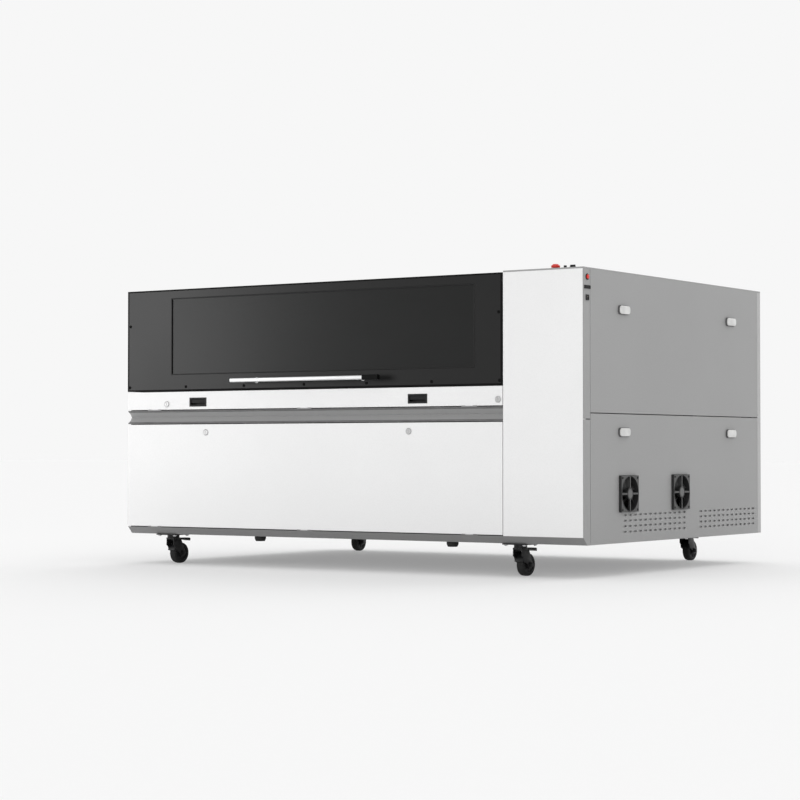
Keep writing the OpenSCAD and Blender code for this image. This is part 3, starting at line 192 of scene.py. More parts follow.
def powder_coat(name, colour, gloss, hem=None):
    """Baked powder paint: orange peel, dust that settles low down, and edges rubbed a shade paler.
    Below the hem, given as a height and a colour, it has the colour of the hinge knuckles."""
    finish = Finish(name, specular_ior_level=0.5)
    edge, worn = finish.round_edge(1.5)
    clouds = finish.noise(1.7, 4.0, 0.55)
    speckle = finish.noise(240.0, 2.0)
    height = finish.axis("Z")
    dust = finish.between(height, 0.34, 0.10) * finish.between(clouds, 0.35, 0.75)
    paint = finish.tint(clouds, colour, 0.97, 1.02)
    paint = finish.mix(finish.between(speckle, 0.42, 0.72, 0.0, 0.35), paint, rgba(colour, 0.93))
    paint = finish.mix(dust * 0.16, paint, rgba(colour, 0.72))
    if hem is not None:
        paint = finish.mix(finish.between(height, hem[0] - 0.1 * MM, hem[0] + 0.1 * MM), rgba(hem[1]), paint)
    finish.set("Base Color", finish.mix(worn * 0.35, paint, rgba(colour, 1.12)))
    finish.set("Roughness", finish.between(speckle, 0.3, 0.7, gloss - 0.05, gloss + 0.07) + dust * 0.1)
    finish.bump(finish.noise(420.0, 2.0, 0.6), 0.10, 0.35, edge)


def hood_paint(name, colour):
    """Smooth satin paint of the hood, with a faint metallic grain."""
    finish = Finish(name, specular_ior_level=0.27)
    edge, worn = finish.round_edge(2.0)
    grain = finish.noise(900.0, 2.0)
    clouds = finish.noise(1.3, 3.0)
    paint = finish.tint(clouds, colour, 0.9, 1.1)
    paint = finish.mix(finish.between(grain, 0.5, 0.8, 0.0, 0.5), paint, rgba(colour, 1.35))
    finish.set("Base Color", finish.mix(worn * 0.3, paint, rgba(colour, 1.6)))
    finish.dull(clouds, 0.27, 0.33)
    finish.bump(finish.noise(300.0, 2.0, 0.6), 0.05, 0.3, edge)


def smoked_pane(name, colour):
    """Dark laser-safety acrylic, glossy and nearly opaque, with a few wipe marks."""
    finish = Finish(name, transmission_weight=0.22, ior=1.49, specular_ior_level=0.19)
    wipes = finish.noise(2.2, 4.0, 0.6, (1.0, 1.0, 3.0))
    finish.set("Base Color", finish.tint(wipes, colour, 0.92, 1.1, 0.3, 0.75))
    finish.dull(wipes, 0.27, 0.29, 0.2, 0.8)


def brushed_metal(name, colour, gloss=0.3):
    """Metal with drawn brush lines along its long side."""
    finish = Finish(name, metallic=1.0)
    edge, worn = finish.round_edge(0.6)
    lines = finish.noise(3.2, 4.0, 0.7, (6.0, 220.0, 220.0))
    clouds = finish.noise(7.0, 3.0)
    metal = finish.tint(lines, colour, 0.86, 1.08)
    metal = finish.mix(finish.between(clouds, 0.4, 0.8, 0.0, 0.4), metal, rgba(colour, 0.8))
    finish.set("Base Color", finish.mix(worn * 0.4, metal, rgba(colour, 1.2)))
    finish.dull(lines, gloss - 0.07, gloss + 0.1, 0.25, 0.75)
    finish.bump(lines, 0.08, 0.08, edge)


def turned_metal(name, colour, gloss=0.24):
    """Lathe-turned metal: fine rings along the upright axis."""
    finish = Finish(name, metallic=1.0)
    edge, worn = finish.round_edge(0.5)
    rings = finish.noise(1.0, 3.0, 0.6, (12.0, 12.0, 2600.0))
    metal = finish.tint(rings, colour, 0.84, 1.06)
    finish.set("Base Color", finish.mix(worn * 0.5, metal, rgba(colour, 1.2)))
    finish.dull(rings, gloss - 0.06, gloss + 0.1, 0.25, 0.75)
    finish.bump(rings, 0.12, 0.05, edge)


def moulded_plastic(name, colour, gloss=0.5, grain=900.0, shine=0.45, face=None):
    """Spark-eroded moulding texture over an even colour. A face, given as its place along X and a colour, has that
    colour instead; on the fan frames that colour paints light on their outer face."""
    finish = Finish(name, specular_ior_level=shine)
    edge, worn = finish.round_edge(0.5)
    texture = finish.noise(grain, 2.0, 0.6)
    skin = finish.tint(finish.noise(24.0, 3.0), colour, 0.88, 1.12)
    skin = finish.mix(worn * 0.4, skin, rgba(colour, 1.7))
    if face is not None:
        mask = finish.between(finish.axis("X"), face[0] - 0.5 * MM, face[0] - 0.2 * MM)
        skin = finish.mix(mask, skin, rgba(face[1]))
    finish.set("Base Color", skin)
    finish.dull(texture, gloss - 0.06, gloss + 0.08)
    finish.bump(texture, 0.18, 0.12, edge)


def tyre_rubber(name, colour):
    """Matt rubber with a dusty running surface."""
    finish = Finish(name, specular_ior_level=0.25)
    dirt = finish.noise(60.0, 5.0, 0.65)
    dusty = finish.between(dirt, 0.5, 0.8, 0.0, 0.6)
    finish.set("Base Color", finish.mix(dusty, rgba(colour), rgba(colour, 2.4)))
    finish.dull(dirt, 0.62, 0.85)
    finish.bump(finish.noise(700.0, 3.0), 0.2, 0.2, finish.round_edge(0.8)[0])


def pressed_steel(name, colour):
    """Black-coated pressed steel of casters and strut bodies, rubbed bright on its edges."""
    finish = Finish(name, specular_ior_level=0.3)
    edge, worn = finish.round_edge(0.8)
    mottle = finish.noise(90.0, 4.0, 0.6)
    rubbed = worn * finish.between(mottle, 0.35, 0.65)
    coat = finish.tint(mottle, colour, 0.8, 1.3)
    finish.set("Base Color", finish.mix(rubbed * 0.6, coat, rgba(colour, 4.0)))
    finish.dull(mottle, 0.3, 0.46)
    finish.bump(mottle, 0.06, 0.2, edge)


def glazed_ceramic(name, colour):
    """Pale technical ceramic with a thin sheen."""
    finish = Finish(name, coat_roughness=0.2)
    grain = finish.noise(500.0, 3.0)
    finish.set("Base Color", finish.tint(grain, colour, 0.94, 1.03, 0.35, 0.7))
    finish.dull(grain, 0.34, 0.46)
    finish.set("Coat Weight", finish.between(grain, 0.3, 0.7, 0.2, 0.35))
    finish.bump(grain, 0.05, 0.05)


# Settings a user would change

class LaserColours(bpy.types.PropertyGroup):
    """Colours of the machine's finishes."""

    def colour(label, text, value):
        return bpy.props.FloatVectorProperty(
            name=label, description=text, subtype="COLOR", size=3, min=0.0, max=1.0, default=value)

    front_white: colour("Front white", "Paint of the front doors and the column", (0.84, 0.84, 0.84))
    side_grey: colour("Side grey", "Paint of the sides and the roof", (0.328, 0.328, 0.328))
    rear_grey: colour("Rear grey", "Paint of the rear sheet", (0.45, 0.45, 0.45))
    # Pan grey is the sides' grey paint made darker: painted shade on the pan's down-facing bevel.
    pan_grey: colour("Pan grey", "Paint of the base pan", (0.225, 0.225, 0.225))
    frame_grey: colour("Frame grey", "Paint of the tube frame and the bed", (0.10, 0.10, 0.105))
    hood: colour("Hood", "Satin paint of the hood", (0.006, 0.006, 0.006))
    pane: colour("Pane", "Tint of the hood's window", (0.006, 0.0064, 0.0062))
    bright_steel: colour("Bright steel", "Slats, hinges and bolts", (0.54, 0.54, 0.55))
    lock_nickel: colour("Lock nickel", "Heads of the round locks", (0.52, 0.52, 0.52))
    aluminium: colour("Aluminium", "Handle, gantry and sensor arm", (0.74, 0.745, 0.75))
    coated_steel: colour("Coated steel", "Casters and strut cylinders", (0.006, 0.006, 0.0063))
    black_plastic: colour("Black plastic", "Latches, knobs and sockets", (0.008, 0.008, 0.0085))
    fan_grey: colour("Fan grey", "Sides and rotors of the fans", (0.014, 0.014, 0.0145))
    # Fan face is paler than the fan grey of the same moulding: painted light on the frames' outer face.
    fan_face: colour("Fan face", "Outer face of the fan frames", (0.068, 0.068, 0.068))
    foil_grey: colour("Foil grey", "Foil on the fans' hubs", (0.17, 0.17, 0.17))
    contact: colour("Contact", "Contacts of the sockets", (0.17, 0.16, 0.14))
    seat_grey: colour("Seat grey", "Seats of the side latches", (0.09, 0.09, 0.09))
    # Seal grey is painted shade: the dark strips at the V groove's lips stand in for the shade under the flap and
    # above the door.
    seal_grey: colour("Seal grey", "Seals along the V groove", (0.17, 0.17, 0.17))
    filter_grey: colour("Filter grey", "Filter mat behind the vent slots", (0.42, 0.42, 0.42))
    latch_white: colour("Latch white", "Grips of the side latches", (0.66, 0.66, 0.65))
    signal_red: colour("Signal red", "Emergency stop and push button", (0.74, 0.028, 0.016))
    # Edge black on the hood's rim is partly painted shade, in the seams at the hood's sides and bottom.
    edge_black: colour("Edge black", "Hood edging, hood screws and the handle's sleeve", (0.003, 0.003, 0.003))
    rubber: colour("Rubber", "Tyres and feet", (0.013, 0.013, 0.013))
    copper: colour("Copper", "Cutting nozzle", (0.80, 0.36, 0.22))
    ceramic: colour("Ceramic", "Insulating ring of the head", (0.72, 0.71, 0.68))


class LaserSizes(bpy.types.PropertyGroup):
    """Sizes of the fittings that the frame doesn't hold."""

    def length(label, text, value):
        return bpy.props.FloatProperty(name=label, description=text, subtype="DISTANCE", unit="LENGTH",
                                       min=0.0, precision=4, default=value * MM)

    screw_r: length("Screw radius", "Radius of the hood's button-head screws", 5.5)
    screw_h: length("Screw height", "Height of a button head", 2.4)
    screw_pitch: length("Screw pitch", "Distance between the screws along the hood's lower edge", 264)
    screw_rise: length("Screw rise", "Distance of those screws above the lower edge", 15)
    edging: length("Edging", "Width of the edging round the window", 3.0)
    sleeve_len: length("Sleeve length", "Length of the black sleeve on the handle", 62)
    sleeve_wall: length("Sleeve wall", "Thickness of that sleeve", 1.8)
    blade_t: length("Blade thickness", "Thickness of a fan blade", 1.4)
    tyre_t: length("Tyre thickness", "Thickness of a caster's rubber tyre", 9)


# Mesh helpers: profiles, heads and bars are in millimetres, places and boxes in metres

def lathe(bm, profile, centre, axis, steps=40):
    """Spins a profile of (radius, height) points round an axis."""
    across = axis.orthogonal().normalized()
    verts = [bm.verts.new(centre + across * radius * MM + axis * height * MM) for radius, height in profile]
    edges = [bm.edges.new(pair) for pair in zip(verts, verts[1:])]
    bmesh.ops.spin(bm, geom=verts + edges, cent=centre, axis=axis, angle=TURN, steps=steps,
                   use_merge=True, use_duplicate=False)
    bmesh.ops.remove_doubles(bm, verts=bm.verts, dist=NEAR)
    bmesh.ops.recalc_face_normals(bm, faces=bm.faces)


def ring(bm, profile, centre, axis, steps=40):
    """Spins a closed profile round an axis."""
    lathe(bm, profile + profile[:1], centre, axis, steps)


def both_sides(profile):
    """A profile with its mirror image after it."""
    return profile + [(radius, -height) for radius, height in reversed(profile)]


def soften(bm, edges, radius, segments=2):
    bmesh.ops.bevel(bm, geom=edges, offset=radius, offset_type="OFFSET", segments=segments, profile=0.5,
                    affect="EDGES", material=-1)


def block(bm, low, high, radius, segments=2, edges_along=None):
    """A box between two corners, with its edges rounded; edges_along keeps the rounding to edges of one axis."""
    low, high = Vector(low), Vector(high)
    place = Matrix.Translation((low + high) / 2) @ Matrix.Diagonal((*(high - low), 1.0))
    verts = set(bmesh.ops.create_cube(bm, size=1.0, matrix=place)["verts"])
    edges = [edge for edge in bm.edges if edge.verts[0] in verts]
    if edges_along is not None:
        edges = [e for e in edges if abs((e.verts[0].co - e.verts[1].co).normalized().dot(edges_along)) > 0.9]
    soften(bm, edges, radius, segments)


def bar(bm, origin, low, high, radius):
    """A rounded box between two corners that are given in millimetres from an origin."""
    block(bm, origin + Vector(low) * MM, origin + Vector(high) * MM, radius * MM)


def raise_faces(bm, faces, step):
    """Extrudes faces by a step, and gives the corners that moved."""
    made = bmesh.ops.extrude_face_region(bm, geom=faces)["geom"]
    moved = [item for item in made if isinstance(item, bmesh.types.BMVert)]
    bmesh.ops.translate(bm, vec=step, verts=moved)
    return moved


def place_at(point, axis=Z_AXIS):
    """A place at a point, with +Z turned to an axis."""
    return Matrix.Translation(point) @ Z_AXIS.rotation_difference(axis).to_matrix().to_4x4()


def stamp(bm, template, places):
    """Adds a copy of a template mesh at each place matrix."""
    for place in places:
        before = set(bm.verts)
        bm.from_mesh(template)
        bmesh.ops.transform(bm, matrix=place, verts=[vert for vert in bm.verts if vert not in before])


def screws(bm, template, points, axis=Z_AXIS):
    """Adds a copy of a screw at each point, along an axis."""
    stamp(bm, template, [place_at(point, axis) for point in points])


def template_of(build):
    """A scratch mesh that a build function fills."""
    bm = bmesh.new()
    build(bm)
    mesh = bpy.data.meshes.new("template")
    bm.to_mesh(mesh)
    bm.free()
    return mesh


def button_head(radius, height):
    """A domed screw head with a hexagon socket, standing on the origin along +Z."""
    socket = 0.42 * radius
    side = TURN / 6

    def build(bm):
        lathe(bm, [(0.0, 0.0), (radius, 0.0), (radius, 0.25 * height), (0.86 * radius, 0.68 * height),
                   (0.74 * radius, 0.9 * height), (1.3 * socket, height)], Vector(), Z_AXIS, 24)
        loop = [e for e in bm.edges if e.is_boundary]
        for level in (height, 0.4 * height):
            made = bmesh.ops.extrude_edge_only(bm, edges=loop)["geom"]
            verts = [item for item in made if isinstance(item, bmesh.types.BMVert)]
            loop = [e for e in made if isinstance(e, bmesh.types.BMEdge) and all(v in verts for v in e.verts)]
            for vert in verts:
                turn = math.atan2(vert.co.x, vert.co.y) % side - side / 2
                reach = socket * math.cos(side / 2) / math.cos(turn)
                out = Vector((vert.co.x, vert.co.y, 0.0)).normalized()
                vert.co = (out * reach + Z_AXIS * level) * MM
        bmesh.ops.edgeloop_fill(bm, edges=loop)
        bmesh.ops.recalc_face_normals(bm, faces=bm.faces)
    return template_of(build)


def hex_head(radius, height):
    """A hexagon bolt head with a washer, standing on the origin along +Z."""
    washer, thick = 1.35 * radius, 0.3 * height

    def build(bm):
        lathe(bm, [(0.0, 0.0), (washer, 0.0), (washer, thick), (0.0, thick)], Vector(), Z_AXIS, 28)
        place = Matrix.Translation((0, 0, 0.65 * height * MM))
        made = set(bmesh.ops.create_cone(bm, cap_ends=True, segments=6, radius1=radius * MM, radius2=radius * MM,
                                         depth=0.7 * height * MM, matrix=place)["verts"])
        soften(bm, [e for e in bm.edges if e.verts[0] in made
                    and min(v.co.z for v in e.verts) > 0.95 * height * MM], 0.12 * radius * MM)
    return template_of(build)


def piece(bm, name, body, finishes, replaced=()):
    """Turns a bmesh into a finished piece that rides on a body."""
    mesh = bpy.data.meshes.new(name)
    bm.to_mesh(mesh)
    bm.free()
    mesh.shade_smooth()
    mesh.set_sharp_from_angle(angle=math.radians(35))
    for finish in finishes:
        mesh.materials.append(bpy.data.materials[finish])
    made = bpy.data.objects.new(name, mesh)
    bpy.context.scene.collection.objects.link(made)
    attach(made, body)
    if replaced:
        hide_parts(*replaced)


def middle(node):
    low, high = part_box(node)
    return (low + high) / 2


def caster(corner):
    """Place of a caster, under its swivel with the wheel trailing along Y, and the trail and height of its axle."""
    roll = JOINTS["caster_%s_roll" % corner]
    swivel = Vector(JOINTS["caster_%s_swivel" % corner]["pos_m"])
    axle = Vector(roll["pos_m"])
    trailing = (axle - swivel) * Vector((1, 1, 0))
    place = Matrix((Vector(roll["axis"]), trailing.normalized(), Z_AXIS)).transposed().to_4x4()
    place.translation = (swivel.x, swivel.y, 0.0)
    return place, trailing.length, axle.z


def second_finish(bm, before):
    """Gives the faces that weren't there before the piece's second finish."""
    for face in bm.faces:
        if face not in before:
            face.material_index = 1


def settle(bm, place):
    """Moves a whole mesh to a place, with its normals outward."""
    bmesh.ops.transform(bm, matrix=place, verts=bm.verts)
    bmesh.ops.recalc_face_normals(bm, faces=bm.faces)


# Operators

class LaserOperator(bpy.types.Operator):
    """Shared settings of the machine's operators."""
    bl_options = {"REGISTER", "UNDO"}

    @property
    def sizes(self):
        return bpy.context.scene.laser_sizes


class LASER_OT_finishes(LaserOperator):
    """Make every finish and paint the frame's own pieces"""
    bl_idname = "laser.finishes"
    bl_label = "Finishes"

    knuckle = 3.6 * MM
    coats = {"front_white": 0.42, "rear_grey": 0.5, "pan_grey": 0.5, "side_grey": 0.5, "frame_grey": 0.5}
    doors = {"flap_white": "flap_panel", "door_white": "front_door"}
    others = (
        ("satin_hood", "hood", hood_paint, {}),
        ("smoked_pane", "pane", smoked_pane, {}),
        ("coated_steel", "coated_steel", pressed_steel, {}),
        ("bright_steel", "bright_steel", brushed_metal, {}),
        ("aluminium", "aluminium", brushed_metal, {"gloss": 0.34}),
        ("foil_grey", "foil_grey", brushed_metal, {"gloss": 0.45}),
        ("lock_nickel", "lock_nickel", brushed_metal, {"gloss": 0.42}),
        ("turned_steel", "bright_steel", turned_metal, {}),
        ("turned_aluminium", "aluminium", turned_metal, {"gloss": 0.28}),
        ("contact", "contact", turned_metal, {}),
        ("turned_copper", "copper", turned_metal, {"gloss": 0.2}),
        ("latch_white", "latch_white", moulded_plastic, {"gloss": 0.4}),
        ("moulded_black", "black_plastic", moulded_plastic, {"shine": 0.25}),
        ("fan_grey", "fan_grey", moulded_plastic, {"gloss": 0.55}),
        ("edge_black", "edge_black", moulded_plastic, {"gloss": 0.6, "shine": 0.1}),
        ("seat_grey", "seat_grey", moulded_plastic, {}),
        # The groove's seal grey paints the shade at both lips of the V groove.
        ("seal_grey", "seal_grey", moulded_plastic, {"gloss": 0.7, "shine": 0.2}),
        ("filter_grey", "filter_grey", moulded_plastic, {"gloss": 0.9, "grain": 350.0, "shine": 0.1}),
        ("gloss_red", "signal_red", moulded_plastic, {"gloss": 0.3, "grain": 300.0}),
        ("matt_rubber", "rubber", tyre_rubber, {}),
        ("fired_ceramic", "ceramic", glazed_ceramic, {}),
    )
    painted = {
        "front_white": ("column_front",),
        "flap_white": ("flap_panel",),
        "door_white": ("front_door",),
        "side_grey": ("left_panel", "roof_panels", "corner_post", "right_upper_panel",
                      "right_lower_panel", "groove_channel", "partition_wall", "waste_tray"),
        "rear_grey": ("rear_panel",),
        # The base pan's darker grey is painted shade on its bevel, which is the same paint as the sides.
        "pan_grey": ("base_pan",),
        "frame_grey": ("base_frame", "bed_frame", "cross_carriage"),
        "satin_hood": ("lid_shell",),
        "smoked_pane": ("lid_window",),
        "coated_steel": ("caster_plates", "strut_cylinders", "head_body", "clamp_collar",
                         *("caster_fork_" + corner for corner in CORNERS)),
        "bright_steel": ("lid_hinge_leaves", "strut_rods", "bed_slats"),
        "lock_nickel": LOCKS,
        "latch_white": TURN_LATCHES,
        "turned_steel": ("nozzle_nut",),
        "aluminium": ("linear_modules", "gantry_beam", "head_slide", "lid_handle"),
        "turned_aluminium": ("sensor_arm",),
        "moulded_black": ("latch_cups", "latch_paddle_left", "latch_paddle_right", "panel_fittings", "key_switch"),
        "fan_frame": ("fan_frames",),
        "fan_grey": ("fan_rotor_front", "fan_rotor_rear"),
        "gloss_red": ("estop_button", "red_button"),
        "matt_rubber": ("leveling_feet", *("caster_wheel_" + corner for corner in CORNERS)),
        "turned_copper": ("copper_nozzle",),
        "fired_ceramic": ("ceramic_ring",),
    }

    def execute(self, context):
        colours = context.scene.laser_colours
        for name, gloss in self.coats.items():
            powder_coat(name, getattr(colours, name), gloss)
        for name, node in self.doors.items():
            hem = (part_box(node)[0].z + self.knuckle, colours.side_grey)
            powder_coat(name, colours.front_white, self.coats["front_white"], hem)
        # The fan frames' outer face gets a paler colour than their sides: painted light.
        face = (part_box("fan_frames")[1].x, colours.fan_face)
        moulded_plastic("fan_frame", colours.fan_grey, 0.55, face=face)
        for name, colour, make, options in self.others:
            make(name, getattr(colours, colour), **options)
        for finish, nodes in self.painted.items():
            for node in nodes:
                slots = frame["nodes"][node].data.materials
                slots.clear()
                slots.append(bpy.data.materials[finish])
        return {"FINISHED"}


class LASER_OT_hood_screws(LaserOperator):
    """Button-head screws along the hood's lower and side edges"""
    bl_idname = "laser.hood_screws"
    bl_label = "Hood screws"

    end_in = 10 * MM
    side_in = 13 * MM
    side_up = 239 * MM

    def execute(self, context):
        sizes = self.sizes
        low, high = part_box("lid_shell")
        row = low.z + sizes.screw_rise
        points = [((low.x + high.x) / 2 + step * sizes.screw_pitch, low.y, row) for step in range(-2, 3)]
        for inset, z in ((self.end_in, row), (self.side_in, low.z + self.side_up)):
            points += [(low.x + inset, low.y, z), (high.x - inset, low.y, z)]
        bm = bmesh.new()
        screws(bm, button_head(sizes.screw_r / MM, sizes.screw_h / MM), points, -Y_AXIS)
        piece(bm, "hood_screws", "lid", ["edge_black"])
        return {"FINISHED"}


class LASER_OT_hood_edging_and_seam_shade(LaserOperator):
    """Edging round the window opening, and a black rim round the hood's front wall: black trim along its top, and
    painted shade of the seams along its sides and bottom
    """
    bl_idname = "laser.hood_edging"
    bl_label = "Hood edging"

    lap = 15 * MM
    rim = 5.5 * MM
    proud = 1.0 * MM
    lip = 0.7 * MM
    gap = 0.2 * MM

    def strip(self, name, low, high, width, depth, finish):
        """A strip that runs round inside the outline between two corners of the front face."""
        centre = (low + high) / 2 - Vector((0, self.proud, 0))
        place = place_at(centre, -Y_AXIS) @ Matrix.Diagonal((high.x - low.x, high.z - low.z, 1.0, 1.0))
        bm = bmesh.new()
        bmesh.ops.create_grid(bm, x_segments=1, y_segments=1, size=0.5, matrix=place)
        kept = bmesh.ops.inset_region(bm, faces=bm.faces[:], thickness=width, use_even_offset=True,
                                      use_boundary=True)["faces"]
        bmesh.ops.delete(bm, geom=[face for face in bm.faces if face not in kept], context="FACES")
        raise_faces(bm, bm.faces[:], (0, self.proud + depth, 0))
        bmesh.ops.recalc_face_normals(bm, faces=bm.faces)
        lips = [e for e in bm.edges if all(abs(v.co.y - centre.y) < NEAR for v in e.verts)]
        soften(bm, lips, self.lip, 3)
        piece(bm, name, "lid", [finish])

    def execute(self, context):
        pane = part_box("lid_window")
        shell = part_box("lid_shell")
        front = shell[0].y
        lap = Vector((self.lap, 0, self.lap))
        low, high = pane[0] + lap, pane[1] - lap
        low.y = high.y = front
        self.strip("window_edging", low, high, self.sizes.edging, pane[0].y - front, "satin_hood")
        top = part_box("column_front")[1].z + self.gap
        # The black rim's sides and bottom paint the shade in the seams round the hood; its top is the hood's black
        # edge.
        self.strip("hood_edging", shell[0], Vector((shell[1].x, front, top)), self.rim, 0.0, "edge_black")
        return {"FINISHED"}


class LASER_OT_groove_shade_strips(LaserOperator):
    """Flat dark strips along both lips of the V groove, shaped as seals: painted shade under the flap's lower edge and
    above the door's top edge
    """
    bl_idname = "laser.groove_seals"
    bl_label = "Groove seals"

    groove_h = 48 * MM
    seam = 3 * MM
    width = (0.6, 9)
    depth = (-0.3, 0.8)

    def execute(self, context):
        low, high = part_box("groove_channel")
        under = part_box("front_door")[1].z + self.seam
        length = (high.x - low.x) / MM

        def build(bm):
            bar(bm, Vector(), (0, self.width[0], self.depth[0]), (length, self.width[1], self.depth[1]), 0.3)
        strip = template_of(build)
        bm = bmesh.new()
        for lip, up in ((under, 1), (under + self.groove_h, -1)):
            slope = (X_AXIS, Vector((0, 1, up)).normalized(), Vector((0, -1, up)).normalized())
            place = Matrix(slope).transposed().to_4x4()
            place.translation = (low.x, low.y, lip)
            stamp(bm, strip, [place])
        bmesh.ops.recalc_face_normals(bm, faces=bm.faces)
        # These dark strips paint the shade that falls at both lips of the groove.
        piece(bm, "groove_seals", "chassis", ["seal_grey"])
        return {"FINISHED"}


class LASER_OT_handle(LaserOperator):
    """Bar handle with rounded edges on two slim posts, and the black sleeve on its right end"""
    bl_idname = "laser.handle"
    bl_label = "Handle"

    half = Vector((0, 6 * MM, 7 * MM))
    rounding = 4 * MM
    sleeve_rounding = 4.4 * MM
    posts = 456 * MM
    post_r = 7.5
    foot_r = 10.5

    def execute(self, context):
        wall = self.sizes.sleeve_wall
        low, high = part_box("lid_handle")
        left = Vector((low.x, low.y + self.half.y, (low.z + high.z) / 2))
        right = Vector((high.x, left.y, left.z))
        reach = (high.y - left.y) / MM
        bm = bmesh.new()
        block(bm, left - self.half, right + self.half, self.rounding, 6, X_AXIS)
        profile = [(0.0, 0.0), (self.post_r, 0.0), (self.post_r, reach - 5), (self.foot_r - 1, reach - 3),
                   (self.foot_r, reach - 2), (self.foot_r, reach), (0.0, reach)]
        for side in BOTH:
            lathe(bm, profile, (left + right) / 2 + X_AXIS * side * self.posts / 2, Y_AXIS)
        piece(bm, "handle_bar", "lid", ["aluminium"], ["lid_handle"])
        grown = self.half + Vector((0, wall, wall))
        start = right - X_AXIS * self.sizes.sleeve_len
        bm = bmesh.new()
        block(bm, start - grown, right + grown + X_AXIS * wall, self.sleeve_rounding, 5, X_AXIS)
        piece(bm, "handle_sleeve", "lid", ["edge_black"])
        return {"FINISHED"}


class LASER_OT_turn_latches(LaserOperator):
    """Rounded grips of the side latches, each on a dark seat with its shank and cam"""
    bl_idname = "laser.turn_latches"
    bl_label = "Side latches"

    seat = 6.0 * MM
    seat_gap = 0.2 * MM
    seat_rim = 3 * MM
    corner = 11 * MM
    shank = 7
    cam = Vector((3 * MM, 40 * MM, 12 * MM))

    def plate(self, bm, centre, length, width, height, rounding):
        """A plate with rounded corners, long along Y, that stands out along X."""
        place = place_at(centre, X_AXIS) @ Matrix.Rotation(TURN / 96, 4, "Z")
        verts = set(bmesh.ops.create_circle(bm, cap_ends=True, radius=self.corner, segments=48, matrix=place)["verts"])
        for vert in verts:
            aside = math.copysign(length / 2 - self.corner, vert.co.y - centre.y)
            above = math.copysign(width / 2 - self.corner, vert.co.z - centre.z)
            vert.co += Vector((0, aside, above))
        top = set(raise_faces(bm, [face for face in bm.faces if face.verts[0] in verts], (height, 0, 0)))
        soften(bm, [e for e in bm.edges if all(v in top for v in e.verts)], rounding, 4)

    def execute(self, context):
        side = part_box("right_upper_panel")[1].x
        for node in TURN_LATCHES:
            low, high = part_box(node)
            size = high - low
            foot = middle(node)
            foot.x = side
            bm = bmesh.new()
            self.plate(bm, foot + X_AXIS * self.seat, size.y - self.seat_rim, size.z - self.seat_rim,
                       high.x - side - self.seat, 2.6 * MM)
            grip = set(bm.faces)
            self.plate(bm, foot + X_AXIS * self.seat_gap, size.y, size.z, self.seat, 0.6 * MM)
            inside = (low.x - side) / MM
            lathe(bm, [(0.0, inside), (self.shank, inside), (self.shank, 1), (0.0, 1)], foot, X_AXIS, 32)
            start = Vector((low.x, foot.y - self.cam.y / 2, foot.z - self.cam.z / 2))
            block(bm, start, start + self.cam, 0.6 * MM)
            second_finish(bm, grip)
            bmesh.ops.recalc_face_normals(bm, faces=bm.faces)
            piece(bm, node + "_grip", node + "_body", ["latch_white", "seat_grey"], [node])
        return {"FINISHED"}


class LASER_OT_fan_rotors(LaserOperator):
    """Fan rotors with curved blades on a rounded hub"""
    bl_idname = "laser.fan_rotors"
    bl_label = "Fan rotors"

    blades = 7
    hub_r = 19
    bore = 3.05
    root_r = 18 * MM
    tip_r = 53 * MM
    camber = 4 * MM
    sweep = math.radians(16)
    pitch = (math.radians(48), math.radians(28))

    def blade(self, bm, start, depth):
        """One blade: a grid whose rows run out from the hub and lean with a falling pitch."""
        root, tip = self.pitch
        chord = 0.85 * depth / math.sin(root)
        for vert in bmesh.ops.create_grid(bm, x_segments=7, y_segments=6, size=0.5)["verts"]:
            across, out = vert.co.x, vert.co.y + 0.5
            radius = self.root_r + out * (self.tip_r - self.root_r)
            pitch = root + out * (tip - root)
            along = across * chord * math.cos(pitch) / radius + self.sweep * out
            height = across * chord * math.sin(pitch) * 0.9 + (0.25 - across * across) * self.camber
            vert.co = Vector((start + depth / 2 + height, radius * math.sin(along), radius * math.cos(along)))
        bmesh.ops.solidify(bm, geom=bm.faces[:], thickness=self.sizes.blade_t)

    def execute(self, context):
        hub = self.hub_r
        for end in ("front", "rear"):
            node = "fan_rotor_" + end
            low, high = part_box(node)
            centre = middle(node)
            depth = high.x - low.x
            one = template_of(lambda bm: self.blade(bm, low.x + 1 * MM, depth - 3 * MM))
            bm = bmesh.new()
            place = Matrix.Translation((0, centre.y, centre.z))
            stamp(bm, one, [place @ Matrix.Rotation(TURN * i / self.blades, 4, "X") for i in range(self.blades)])
            deep = depth / MM
            profile = [(0.0, 0.8), (8.2, 0.8), (9, 0.0), (hub - 3, 0.0), (hub - 1, 1), (hub, 3), (hub, deep),
                       (self.bore, deep), (self.bore, 2), (0.0, 2)]
            lathe(bm, profile, Vector((low.x, centre.y, centre.z)), X_AXIS, 48)
            piece(bm, node + "_blades", node + "_body", ["fan_grey"], [node])
        return {"FINISHED"}


